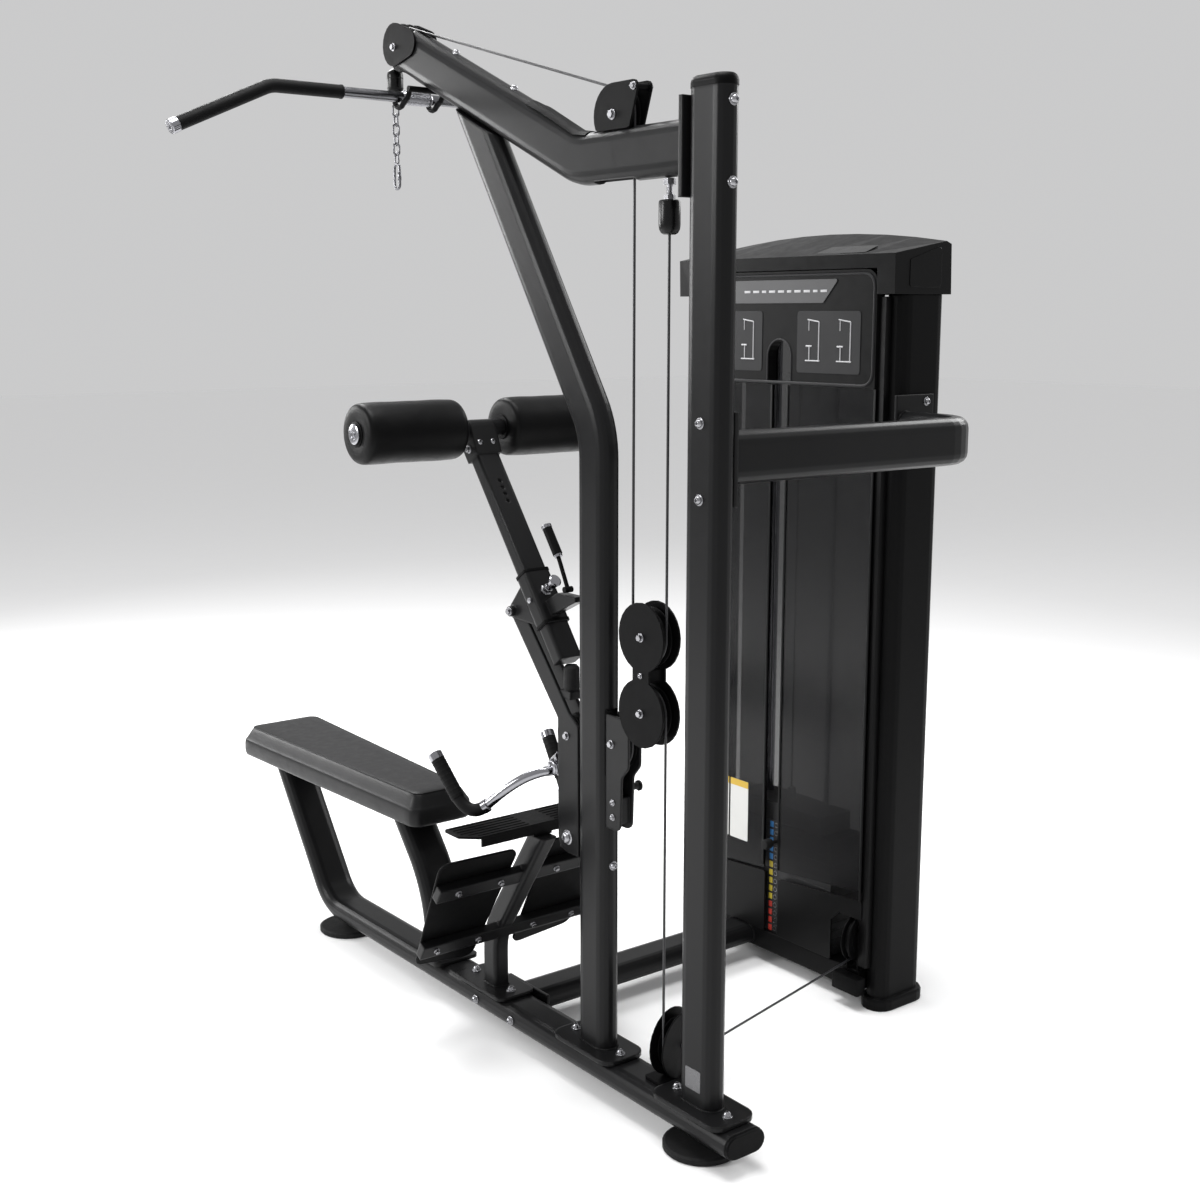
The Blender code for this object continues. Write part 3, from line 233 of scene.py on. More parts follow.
class Shape:
    """Collects bodies into one mesh, then rides it on a CAD body."""

    def __init__(self):
        self.bm = bmesh.new()

    def turned(self, origin, axis, profile, steps=20):
        """Solid of revolution; profile lists (distance along axis, radius)."""
        a = Vector(axis).normalized()
        ref = Z_AXIS if abs(a.z) < 0.9 else X_AXIS
        p = ref.cross(a).normalized()
        q = a.cross(p)
        o = Vector(origin)
        rings = []
        for d, r in profile:
            rings.append([self.bm.verts.new(o + a * d + (p * cos(2 * pi * i / steps)
                                                         + q * sin(2 * pi * i / steps)) * r)
                          for i in range(steps)])
        self.join(rings)

    def join(self, rings, close=True):
        """Skins a run of rings of equal length, capping both ends if close is set."""
        for one, two in zip(rings, rings[1:]):
            n = len(one)
            for i in range(n):
                self.bm.faces.new((one[i], one[(i + 1) % n], two[(i + 1) % n], two[i]))
        if close:
            self.bm.faces.new(rings[0][::-1])
            self.bm.faces.new(rings[-1])

    def box(self, low, high, bevel=0.0):
        made = bmesh.ops.create_cube(self.bm, size=1.0)["verts"]
        low, high = Vector(low), Vector(high)
        for v in made:
            v.co = Vector([low[k] + (v.co[k] + 0.5) * (high[k] - low[k]) for k in range(3)])
        if bevel:
            edges = list({e for v in made for e in v.link_edges})
            bmesh.ops.bevel(self.bm, geom=edges, offset=bevel, segments=2, profile=0.6, affect="EDGES")

    def tube(self, points, r, sides=12, closed=False):
        """Round tube of radius r through the points."""
        pts = [Vector(p) for p in points]
        count = len(pts)
        rings = []
        p = None
        for i, c in enumerate(pts):
            before = pts[i - 1] if (closed or i > 0) else c
            after = pts[(i + 1) % count] if (closed or i < count - 1) else c
            t = (after - before).normalized()
            if p is None:
                ref = X_AXIS if abs(t.x) < 0.8 else Y_AXIS
                p = (ref - t * ref.dot(t)).normalized()
            else:
                p = (p - t * p.dot(t)).normalized()
            q = t.cross(p)
            rings.append([self.bm.verts.new(c + (p * cos(2 * pi * k / sides)
                                                 + q * sin(2 * pi * k / sides)) * r)
                          for k in range(sides)])
        if closed:
            rings.append(rings[0])
        self.join(rings, close=not closed)

    def plate(self, outline, place, low, high):
        """Flat plate: the outline placed at depths low and high."""
        rings = [[self.bm.verts.new(place(a, b, c)) for a, b in outline] for c in (low, high)]
        self.join(rings)

    def bolt(self, p, axis, r=0.0095, h=0.0065, hexagon=False):
        """Washer and head on a face: a plain hexagon, or a domed cap with a socket."""
        a = Vector(axis).normalized()
        p = Vector(p)
        r *= HEAD_SHARE
        self.turned(p, a, [(-0.0010, r * 1.34), (0.0012, r * 1.34), (0.0017, r * 1.26)], 24)
        if hexagon:
            self.turned(p + a * 0.0014, a, [(0, r), (h - 0.0014, r), (h - 0.0006, r * 0.86)], 6)
        else:
            self.turned(p + a * 0.0014, a, [(0, r * 1.02), (h * 0.35, r), (h * 0.70, r * 0.80),
                                            (h * 0.92, r * 0.50), (h * 0.92, r * 0.36),
                                            (h * 0.55, r * 0.34)], 20)

    def done(self, name, mat, body, slot=None, smooth=38, subdivide=0, replace=()):
        """Makes the piece; edges sharper than smooth degrees stay sharp."""
        bmesh.ops.recalc_face_normals(self.bm, faces=self.bm.faces)
        mesh = bpy.data.meshes.new(name)
        self.bm.to_mesh(mesh)
        self.bm.free()
        for f in mesh.polygons:
            f.use_smooth = True
        if not subdivide:
            mesh.set_sharp_from_angle(angle=radians(smooth))
        mesh.materials.append(mat)
        obj = bpy.data.objects.new(name, mesh)
        scene.collection.objects.link(obj)
        if subdivide:
            sub = obj.modifiers.new("round", "SUBSURF")
            sub.levels = subdivide
            sub.render_levels = subdivide
        if body:
            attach(obj, body)
        if replace:
            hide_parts(*replace)
        return obj


def rounded(corners, r, steps=5):
    """Outline with each corner turned into an arc of radius r, or less where the sides are short."""
    out = []
    n = len(corners)
    for i in range(n):
        here = Vector(corners[i])
        b = Vector(corners[i - 1]) - here
        f = Vector(corners[(i + 1) % n]) - here
        bn, fn = b.normalized(), f.normalized()
        half = bn.angle(fn) / 2
        reach = min(r / math.tan(half), b.length * 0.49, f.length * 0.49)
        rr = reach * math.tan(half)
        centre = here + (bn + fn).normalized() * (rr / sin(half))
        first = here + bn * reach - centre
        last = here + fn * reach - centre
        ang = first.angle(last)
        for k in range(steps + 1):
            t = k / steps
            out.append(tuple(centre + (first * sin((1 - t) * ang) + last * sin(t * ang)) / sin(ang)))
    return out


def rectangle(u0, v0, u1, v1):
    return [(u0, v0), (u1, v0), (u1, v1), (u0, v1)]


def yz_place(a, b, c):
    return Vector((c, a, b))


def span(node):
    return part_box(node)


def mid(node):
    lo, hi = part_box(node)
    return (Vector(lo) + Vector(hi)) / 2


# ----------------------------------------------- places taken from the CAD frame

front_axle = Vector(joints["front_pulley_spin"]["pos_m"])
rear_axle = Vector(joints["rear_boom_pulley_spin"]["pos_m"])
top_wheel = Vector(joints["block_upper_spin"]["pos_m"])
low_wheel = Vector(joints["block_lower_spin"]["pos_m"])
base_wheel = Vector(joints["base_pulley_spin"]["pos_m"])
base_axis = Vector(joints["base_pulley_spin"]["axis"]).normalized()
tower_wheel = Vector(joints["tower_pulley_spin"]["pos_m"])
top_near = Vector(joints["top_near_spin"]["pos_m"])
top_far = Vector(joints["top_far_spin"]["pos_m"])
row_rear = Vector(joints["row_rear_spin"]["pos_m"])
row_front = Vector(joints["row_front_spin"]["pos_m"])
fold = Vector(joints["thigh_fold"]["pos_m"])
roll = Vector(joints["roller_right_spin"]["pos_m"])
arm_up = Vector(joints["thigh_height"]["axis"]).normalized()
arm_out = Vector(joints["height_pin_pull"]["axis"]).normalized()
pin_at = Vector((0, -0.7284, 1.2912))
run = Vector((-base_axis.y, base_axis.x, 0)).normalized()
if run.x > 0:
    run = -run
PULLEY_R = 0.045      # cable radius on the boom pulleys and the base pulley
LOOP_R = 0.0512       # on the two wheels of the floating block
TOWER_LOW_R = 0.047   # on the low tower pulley
TOP_R = 0.0468        # on the two top tower pulleys
ROW_REAR_R = 0.048
ROW_FRONT_R = 0.039
CABLE_R = 0.0027      # of the cable itself
FOOT_BAR_HIGH = Vector((0, -0.595, 0.397))
FOOT_BAR_LOW = Vector((0, -0.689, 0.235))
POST_FOOT_TOP = 0.095  # top of the posts' foot plates
TUBE = (0.051, 0.101)  # flat-oval tube with a little room round it, for weld beads


def arm(s, n=0.0, x=0.0):
    """Place on the thigh arm: s down its length from pin_at, n out of its face, x across."""
    p = pin_at - arm_up * s + arm_out * n
    return Vector((x, p.y, p.z))


BOOM_SLOPE = 0.443
BOOM_BEND_Y = -0.381
BOOM_MID_Z = 1.9125   # centre line of the level part
BOOM_HALF = 0.05
boom_up = Vector((0, BOOM_SLOPE, 1)).normalized()


def boom_top(y):
    """Height of the boom's upper face at y."""
    if y > BOOM_BEND_Y:
        return BOOM_MID_Z + BOOM_HALF
    return BOOM_MID_Z + BOOM_SLOPE * (BOOM_BEND_Y - y) + BOOM_HALF * sqrt(1 + BOOM_SLOPE ** 2)


# ------------------------------------------------------------------- fasteners

big = Shape()
# through the rear post: boom flange, then upper arm; then the base rail's side
for z in (1.983, 1.844):
    big.bolt((0, 0.0500, z), Y_AXIS, 0.0100, 0.0085)
for z in (1.423, 1.284):
    big.bolt((0.0250, 0, z), X_AXIS, 0.0100, 0.0085)
for y in (-0.733, -0.591):
    big.bolt((0.0500, y, 0.060), X_AXIS, 0.0095, 0.0080)
# on the foot plates along the base rail
for x, y, z in ((0, 0.073, POST_FOOT_TOP), (0, -0.076, POST_FOOT_TOP),
                (0, -0.413, POST_FOOT_TOP), (0, -0.259, POST_FOOT_TOP),
                (0.047, -0.915, 0.0935), (-0.047, -0.915, 0.0935),
                (0.047, -0.968, 0.0935), (-0.047, -0.968, 0.0935),
                (0, -0.806, 0.093), (0, -0.662, 0.093)):
    big.bolt((x, y, z), Z_AXIS, 0.0100, 0.0095, hexagon=abs(x) > 0.01)
for y in (-0.832, -0.615):
    big.bolt((0, y, boom_top(y) - 0.0006), boom_up, 0.0080, 0.0070)
big.bolt((0, -0.2840, 0.500), Y_AXIS, 0.0090, 0.0080)
for z in (1.427, 1.298):
    big.bolt((-0.812, -0.1950, z), Y_AXIS, 0.0090, 0.0075)
for sign in (1, -1):
    big.bolt((sign * 0.0195, -0.4150, 0.530), X_AXIS * sign, 0.0150, 0.0100)
# pairs, the same on both sides
for sign in (1, -1):
    s = Vector((sign, 0, 0))
    big.bolt((sign * 0.0293, front_axle.y, front_axle.z), s, 0.0080, 0.0060, hexagon=True)
    big.bolt((sign * 0.0187, rear_axle.y, rear_axle.z), s, 0.0095, 0.0065, hexagon=True)
    big.bolt((sign * 0.0187, -0.203, 2.031), s, 0.0070, 0.0055, hexagon=True)
    big.bolt((sign * 0.0170, row_rear.y, row_rear.z), s, 0.0085, 0.0060, hexagon=True)
    big.bolt((sign * 0.0195, row_front.y, row_front.z), s, 0.0085, 0.0060, hexagon=True)
    for z in (0.643, 0.612):
        big.bolt((sign * 0.0170, -0.264, z), s, 0.0065, 0.0050)
    big.bolt(base_wheel + base_axis * (sign * 0.0168), base_axis * sign, 0.0080, 0.0055, hexagon=True)
    big.bolt(tower_wheel + base_axis * (sign * 0.0158), base_axis * sign, 0.0070, 0.0050, hexagon=True)
    for x in (0.075, 0.185):
        for bar in (FOOT_BAR_HIGH, FOOT_BAR_LOW):
            c = bar + X_AXIS * (sign * x)
            out = Vector((0, -0.8649, 0.5019))
            big.bolt(c + out * 0.0151, out, 0.0075, 0.0055)
            big.bolt(c - out * 0.0100, -out, 0.0070, 0.0065, hexagon=True)
big.done("root_bolts", ZINC, "root", "chrome")

blk = Shape()
for sign in (1, -1):
    for w in (top_wheel, low_wheel):
        blk.bolt((sign * 0.0222, w.y, w.z), (sign, 0, 0), 0.0085, 0.0070, hexagon=True)
    blk.bolt((sign * 0.0222, top_wheel.y, 0.924), (sign, 0, 0), 0.0055, 0.0045)
blk.done("block_bolts", ZINC, "block", "chrome")

clamp = Shape()
for sign in (1, -1):
    clamp.bolt(arm(-0.044, 0.0, sign * 0.0325), (sign, 0, 0), 0.0085, 0.0065, hexagon=True)
    clamp.bolt(arm(-0.046, 0.0214, sign * 0.017), arm_out, 0.0098, 0.0072)
    clamp.bolt(arm(-0.046, -0.0214, sign * 0.017), -arm_out, 0.0098, 0.0072)
clamp.done("clamp_bolts", ZINC, "arm_tube", "chrome")

sleeve = Shape()
for sign in (1, -1):
    sleeve.bolt((sign * 0.0373, fold.y, fold.z), (sign, 0, 0), 0.0085, 0.0060, hexagon=True)
    sleeve.turned(arm(0.335, 0.0, sign * 0.0322), (sign, 0, 0),
                  [(0, 0.0065), (0.004, 0.0060), (0.0045, 0.004)], 18)
sleeve.turned(arm(0.326, 0.0205), arm_out,
              [(0, 0.0130), (0.003, 0.0130), (0.004, 0.0105), (0.014, 0.0105), (0.015, 0.0095)], 6)
sleeve.done("sleeve_fittings", ZINC, "arm_sleeve", "chrome")
collar = Shape()
COLLAR = rectangle(-0.0335, -0.0228, 0.0335, 0.0228)
COLLAR_T = 0.0060
for s in (0.2712, 0.3925):
    collar.plate(rounded(COLLAR, 0.010), lambda a, b, c: arm(c, b, a), s, s + COLLAR_T)
collar.done("sleeve_collars", BLACK, "arm_sleeve", "black_plastic")

# ------------------------------------------------------------------- seat pad

pad_lo, pad_hi = span("seat_pad")
PAD_REAR_HALF = 0.085
PAD_CORNER_R = 0.032


def pad_ring(z, inset):
    """Outline of the tapering seat at height z, drawn in by inset."""
    front = pad_hi[0] - inset
    rear = PAD_REAR_HALF - inset
    y0 = pad_lo[1] + inset
    y1 = pad_hi[1] - inset
    corners = [(-front, y0), (front, y0), (rear, y1), (-rear, y1)]
    return [(x, y, z) for x, y in rounded(corners, max(PAD_CORNER_R - inset * 0.45, 0.012), 7)]


pad = Shape()
# height and inset of each ring, from the board up over the moulded chamfer
levels = [(0.4203, 0.018), (0.4203, 0.006), (0.4235, 0.0012), (0.4330, -0.0008), (0.4480, -0.0012),
          (0.4610, 0.0000), (0.4655, 0.0016), (0.4672, 0.0034), (0.4720, 0.0062), (0.4860, 0.0140),
          (0.4942, 0.0190), (0.4975, 0.0222), (0.4992, 0.0262), (0.5004, 0.0340), (0.5012, 0.0450),
          (0.5016, 0.0520)]
rings = []
for z, inset in levels:
    ring = []
    for x, y, zz in pad_ring(z, inset):
        wave = noise.noise(Vector((x * 9, y * 5, zz * 9))) * (0.0010 if zz > 0.43 else 0.0)
        ring.append(pad.bm.verts.new((x, y, zz + wave * 0.8)))
    rings.append(ring)
pad.join(rings)
seat = pad.done("seat_cushion", VINYL, "root", "seat_vinyl", subdivide=1, replace=("seat_pad",))

piping = Shape()
piping.tube(pad_ring(0.4975, 0.0212), 0.0013, 8, closed=True)
piping.done("seat_seam", VINYL, "root", "seat_vinyl", smooth=80)
board = Shape()
board.plate([(x, y) for x, y, z in pad_ring(0, 0.020)], lambda a, b, c: Vector((a, b, c)), 0.4185, 0.4235)
board.done("seat_board", BLACK, "root", "black_plastic")

# --------------------------------------------------------------------- rollers

for name, body, sign in (("roller_right", "right_roller", 1), ("roller_left", "left_roller", -1)):
    foam = Shape()
    lo, hi = span(name)
    near = min(abs(lo[0]), abs(hi[0]))
    far = max(abs(lo[0]), abs(hi[0]))
    profile = [(near + 0.004, 0.0130), (near + 0.0015, 0.0200), (near + 0.0004, 0.0330), (near, 0.0450),
               (near + 0.0012, 0.0560), (near + 0.0050, 0.0620), (near + 0.0120, 0.0648)]
    count = 9
    for i in range(count):
        t = i / (count - 1)
        r = 0.0655 - 0.0006 * cos(6 * pi * t)
        profile.append((near + 0.022 + (far - near - 0.044) * t, r))
    profile += [(far - 0.0120, 0.0648), (far - 0.0050, 0.0620), (far - 0.0012, 0.0560), (far, 0.0450),
                (far - 0.0004, 0.0330), (far - 0.0015, 0.0200), (far - 0.004, 0.0130)]
    foam.turned((0, roll.y, roll.z), (sign, 0, 0), profile, 40)
    for v in foam.bm.verts:
        off = Vector((0, v.co.y - roll.y, v.co.z - roll.z))
        if off.length > 0.03:
            v.co += off.normalized() * noise.noise(v.co * 14) * 0.0011
    soft = foam.done(name + "_foam", FOAM, body, "rubber", subdivide=1, replace=(name,))
    ring = Shape()
    for x in (near - 0.0006, far + 0.0002):
        ring.turned((sign * x, roll.y, roll.z), (sign, 0, 0),
                    [(-0.0008, 0.0265), (0.0004, 0.0270), (0.0010, 0.0250)], 28)
    ring.done(name + "_washers", BLACK, body, "black_plastic")
ends = Shape()
for sign in (1, -1):
    ends.turned((sign * 0.3085, roll.y, roll.z), (sign, 0, 0),
                [(0, 0.0215), (0.0020, 0.0215), (0.0034, 0.0190), (0.0036, 0.0110), (0.0022, 0.0100),
                 (0.0022, 0.0062), (0.0040, 0.0058)], 28)
ends.done("roller_end_caps", CHROME, "arm_tube", "chrome")

# --------------------------------------------------------------------- cables


def circle_run(centre, across, r, start, stop, steps):
    """Arc from start to stop degrees, in the plane of across and Z."""
    out = []
    for i in range(steps + 1):
        a = radians(start + (stop - start) * i / steps)
        out.append(Vector(centre) + Vector(across) * (r * cos(a)) + Z_AXIS * (r * sin(a)))
    return out


def fixed_run(name, points, body, cad):
    """Length of cable that keeps its shape and rides one body."""
    s = Shape()
    s.tube(points, CABLE_R, 10)
    s.done(name, CABLE, body, "cable", smooth=80, replace=(cad,))


def stretch_run(name, top, bottom, cad):
    """Straight length from top to bottom, points that lie on two bodies joined by a slide; it rides neither body.
    """
    s = Shape()
    s.tube([top, bottom], CABLE_R, 10)
    obj = s.done(name, CABLE, None, "cable", smooth=80)
    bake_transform(obj)
    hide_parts(cad)


fall = math.degrees(math.atan2(front_axle.z - rear_axle.z, rear_axle.y - front_axle.y))
tilt = 90 - fall
LAT_Y = front_axle.y - PULLEY_R
REAR_Y = rear_axle.y + PULLEY_R
IN_Y = top_wheel.y + LOOP_R
end_top = Vector((0, LAT_Y, span("lat_end_fitting")[1][2] - 0.002))
over = circle_run(front_axle, Y_AXIS, PULLEY_R, 180, tilt, 14)
over += circle_run(rear_axle, Y_AXIS, PULLEY_R, tilt, 0, 10)
fixed_run("cable_over_boom", over, "root", "lat_cable")
stretch_run("cable_to_bar", Vector((0, LAT_Y, front_axle.z)), end_top, "lat_cable")
stretch_run("cable_down_to_block", Vector((0, REAR_Y, rear_axle.z)),
            Vector((0, top_wheel.y - LOOP_R, top_wheel.z)), "lat_cable")
fixed_run("cable_under_upper_wheel", circle_run(top_wheel, Y_AXIS, LOOP_R, -180, 0, 20), "block",
          "lat_cable")
anchor_bottom = span("cable_anchor")[0][2]
stretch_run("cable_up_to_anchor", Vector((0, IN_Y, anchor_bottom + 0.002)), Vector((0, IN_Y, top_wheel.z)),
            "lat_cable")

front_bottom = row_front.z - ROW_FRONT_R
under = [Vector((0, row_front.y, front_bottom))]
under += circle_run(row_rear, Y_AXIS, ROW_REAR_R, -90, 0, 8)
fixed_run("cable_under_row_wheels", under, "root", "row_cable")
stretch_run("cable_to_handle", Vector((0, row_front.y, front_bottom)), Vector((0, -0.4670, 0.6894)),
            "row_cable")
stretch_run("cable_up_to_block", Vector((0, row_rear.y + ROW_REAR_R, row_rear.z)),
            Vector((0, low_wheel.y - LOOP_R, low_wheel.z)), "row_cable")
fixed_run("cable_over_lower_wheel", circle_run(low_wheel, Y_AXIS, LOOP_R, 180, 0, 20), "block",
          "row_cable")
stretch_run("cable_down_to_base", Vector((0, IN_Y, base_wheel.z)), Vector((0, IN_Y, low_wheel.z)),
            "row_cable")
low_run = circle_run(base_wheel, run, PULLEY_R, 180, 270, 9)
low_run += circle_run(tower_wheel, run, TOWER_LOW_R, -90, 0, 9)
low_run += circle_run(top_near, Y_AXIS, TOP_R, 0, 90, 10)
low_run += circle_run(top_far, Y_AXIS, TOP_R, 90, 180, 10)
fixed_run("cable_to_tower", low_run, "root", "row_cable")
stem_top = span("lifted_plates")[1][2]
stretch_run("cable_to_stack", Vector((top_far.x, top_far.y - TOP_R, top_far.z)),
            Vector((top_far.x, top_far.y - TOP_R, stem_top - 0.002)),
            "row_cable")

# ------------------------------------ moulded end, eye, chain and snap hook

lo, hi = span("lat_end_fitting")
mould = Shape()
mould.turned((0, LAT_Y, lo[2]), Z_AXIS,
             [(0, 0.0110), (0.0012, 0.0150), (0.0045, 0.0175), (0.0100, 0.0184), (0.0380, 0.0184),
              (0.0440, 0.0170), (0.0490, 0.0130), (0.0525, 0.0080), (0.0535, 0.0030)], 32)
mould.done("end_fitting_mould", SLEEVE, "cable_end", "rubber", replace=("lat_end_fitting",))
end = Shape()
for z in (lo[2] + 0.010, lo[2] + 0.032):
    end.turned((0, LAT_Y, z), Z_AXIS, [(-0.0012, 0.0183), (0, 0.0190), (0.0012, 0.0183)], 28)
end.done("end_fitting_ribs", RUBBER, "cable_end", "rubber")
eye = Shape()
eye.turned((0, LAT_Y, lo[2] - 0.0030), Z_AXIS, [(0, 0.0075), (0.0040, 0.0080)], 16)
eye.tube(circle_run((0, LAT_Y, lo[2] - 0.0110), Y_AXIS, 0.0090, 0, 337.5, 15), 0.0026, 8, closed=True)
eye.done("end_fitting_eye", CHROME, "cable_end", "chrome")


def oval_loop(centre, long, short, across, count=20):
    """Points round a chain link; across is the direction its width lies along."""
    out = []
    for k in range(count):
        a = 2 * pi * k / count
        stretch = (long / 2 - short / 2) * (1 if sin(a) > 0 else -1)
        out.append(Vector(centre) + Vector(across) * (short / 2 * cos(a))
                   + Z_AXIS * (short / 2 * sin(a) + stretch))
    return out


chain = Shape()
chain_top = 2.0945
pitch = 0.0212
LINKS = 7
for i in range(LINKS):
    across = X_AXIS if i % 2 else Y_AXIS
    link = oval_loop((0, LAT_Y, chain_top - pitch * i), 0.0272, 0.0152, across)
    chain.tube(link, 0.0021, 8, closed=True)
snap_top = chain_top - pitch * (LINKS - 1) - 0.0125
chain.tube(oval_loop((0, LAT_Y, snap_top - 0.0270), 0.0560, 0.0220, Y_AXIS, 24), 0.0032, 10, closed=True)
chain.turned((0, LAT_Y + 0.0105, snap_top - 0.0370), Z_AXIS,
             [(0, 0.0032), (0.001, 0.0042), (0.019, 0.0042), (0.020, 0.0030)], 14)
chain.done("chain_and_hook", LINK, "chain", "chrome", smooth=70, replace=("lat_chain",))

# cable anchor: threaded stud with two nuts, and the sleeve below them
THREAD_R = 0.0056
THREAD_PITCH = 0.0018
stud = Shape()
stud.turned((0, IN_Y, 1.8235), Z_AXIS, [(0, 0.0106), (0.0085, 0.0106), (0.0088, THREAD_R)], 6)
stud.turned((0, IN_Y, 1.8320), Z_AXIS, [(0, THREAD_R), (0.0178, THREAD_R)], 16)
for k in range(9):
    stud.turned((0, IN_Y, 1.8332 + k * THREAD_PITCH), Z_AXIS,
                [(-0.0005, THREAD_R), (0, 0.0062), (0.0005, THREAD_R)], 16)
stud.turned((0, IN_Y, 1.8500), Z_AXIS, [(0, 0.0116), (0.0115, 0.0116)], 6)
stud.done("anchor_stud", ZINC, "root", "chrome")
bullet = Shape()
bullet.turned((0, IN_Y, 0), Z_AXIS,
              [(1.7605, 0.0040), (1.7610, 0.0110), (1.7640, 0.0160), (1.7700, 0.0192), (1.7780, 0.0204),
               (1.8190, 0.0204), (1.8215, 0.0192), (1.8230, 0.0160), (1.8240, 0.0080)], 32)
bullet.done("anchor_sleeve", SLEEVE, "root", "rubber", replace=("cable_anchor",))

# row handle: link, curved tube, grips and caps; the tips of the lever come between
hand = Shape()
ring = []
for k in range(20):
    a = 2 * pi * k / 20
    y = -0.4880 + 0.0120 * cos(a) * 0.6 - 0.0085 * sin(a)
    z = 0.6660 + 0.0150 * sin(a) + 0.0060 * cos(a)
    ring.append((0.0, y, z))
hand.tube(ring, 0.0028, 10, closed=True)
hand.turned((0, -0.4640, 0.6915), (0, -0.80, -0.60),
            [(-0.002, 0.0060), (0.0, 0.0100), (0.0004, 0.0132), (0.0160, 0.0132), (0.0175, 0.0095)], 20)
hand.turned((0, -0.4935, 0.6600), X_AXIS,
            [(-0.0050, 0.0140), (-0.0040, 0.0158), (0.0040, 0.0158), (0.0050, 0.0140)], 28)
hand.done("handle_link", CHROME, "handle", "chrome", smooth=70)
knots = [Vector(p) for p in ((0, -0.498, 0.6530), (0.022, -0.508, 0.6510), (0.050, -0.532, 0.6360),
                             (0.078, -0.562, 0.6080), (0.108, -0.5985, 0.5672), (0.1325, -0.6225, 0.5440))]
arch = []
for k in range(len(knots) - 2):
    a = knots[k - 1] if k else Vector((-0.022, -0.508, 0.6510))
    b, c, d = knots[k], knots[k + 1], knots[k + 2]
    for j in range(5):
        t = j / 5
        arch.append((b * 2 + (c - a) * t + (a * 2 - b * 5 + c * 4 - d) * (t * t)
                     + (b * 3 - a - c * 3 + d) * (t ** 3)) * 0.5)
arch.append(knots[-2])
curved = [Vector((-p.x, p.y, p.z)) for p in arch[:0:-1]] + arch
tube = Shape()
tube.tube(curved, 0.0108, 18)
tube.done("handle_tube", CHROME, "handle", "chrome", smooth=70, replace=("row_handle",))
tip = Shape()
tip_dir = Vector((0, -0.042, 0.057)).normalized()
tip_foot = Vector((0, -0.471, 1.124))
tip.turned(tip_foot + tip_dir * 0.0640, tip_dir, [(0, 0.0110), (0.0070, 0.0112), (0.0080, 0.0095)], 18)
tip.turned(tip_foot - tip_dir * 0.0050, tip_dir, [(0, 0.0085), (0.0060, 0.0090)], 18)
tip.done("lever_tips", CHROME, "lever", "chrome")
g1 = Vector((0.1392, -0.6530, 0.5795))
g2 = Vector((0.1517, -0.7240, 0.6627))
grips = Shape()
caps = Shape()
for sign in (1, -1):
    def flip(p):
        return Vector((sign * p.x, p.y, p.z))
    grips.tube([flip(g1.lerp(g2, k / 12)) for k in range(13)], 0.0157, 18)
    bend = [Vector((0.108, -0.5985, 0.5672)), Vector((0.1325, -0.6225, 0.5440)), g1.lerp(g2, 0.06)]
    curve = [bend[0] * ((1 - t) ** 2) + bend[1] * (2 * t * (1 - t)) + bend[2] * (t * t)
             for t in [k / 14 for k in range(15)]]
    grips.tube([flip(p) for p in curve], 0.0142, 18)
    caps.turned(flip(bend[0]), flip(bend[0] - bend[1]),
                [(-0.002, 0.0150), (0.0095, 0.0150), (0.0110, 0.0125)], 22)
    d = (g2 - g1).normalized()
    for k in range(9):
        c = flip(g1.lerp(g2, 0.06 + k * 0.11))
        grips.turned(c, flip(d), [(-0.0016, 0.0155), (0, 0.0163), (0.0016, 0.0155)], 18)
    caps.turned(flip(g2), flip(d),
                [(-0.0120, 0.0163), (0.0035, 0.0163), (0.0050, 0.0140), (0.0052, 0.0060)], 22)
grips.done("row_grip_sleeves", GRIP, "handle", "rubber", smooth=60)
caps.done("row_grip_caps", CHROME, "handle", "chrome")

# pulldown bar: rubber sleeves, end caps and centre knurl
bar_at = Vector((0, -1.0, 2.090))


def bar_line(sign):
    a, b, c = Vector((0.1900, 0, 0)), Vector((0.355, 0, 0)), Vector((0.580, 0, -0.100))
    back, on = (a - b).normalized(), (c - b).normalized()
    half = back.angle(on) / 2
    r = 0.070
    reach = r / math.tan(half)
    centre = b + (back + on).normalized() * (r / sin(half))
    first, last = b + back * reach - centre, b + on * reach - centre
    ang = first.angle(last)
    pts = [a, a.lerp(b + back * reach, 0.5)]
    for k in range(9):
        t = k / 8
        pts.append(centre + (first * sin((1 - t) * ang) + last * sin(t * ang)) / sin(ang))
    pts += [(b + on * reach).lerp(c, 0.5), c - on * 0.002]
    return [bar_at + Vector((sign * p.x, p.y, p.z)) for p in pts]


sleeves = Shape()
ends = Shape()
for sign in (1, -1):
    pts = bar_line(sign)
    sleeves.tube(pts, 0.0146, 20)
    d = (pts[-1] - pts[-2]).normalized()
    sleeves.turned(pts[0], (-sign, 0, 0), [(-0.001, 0.0152), (0.003, 0.0152), (0.004, 0.0120)], 20)
    ends.turned(pts[-1], d,
                [(-0.0150, 0.0151), (-0.0145, 0.0156), (0.0015, 0.0156), (0.0030, 0.0142),
                 (0.0032, 0.0060), (0.0020, 0.0055)], 22)
for k in range(24):
    x = -0.026 + k * 0.00226
    ends.turned((x, bar_at.y, bar_at.z), X_AXIS, [(-0.0007, 0.0155), (0, 0.0158), (0.0007, 0.0155)], 24)
for sign in (1, -1):
    ends.turned((sign * 0.0310, bar_at.y, bar_at.z), (sign, 0, 0),
                [(0, 0.0155), (0.002, 0.0150), (0.006, 0.0118)], 24)
sleeves.done("bar_sleeves", GRIP, "bar", "rubber", smooth=60)
ends.done("bar_trim", CHROME, "bar", "chrome")

# ------------------------------------------------------------------ wheel trim

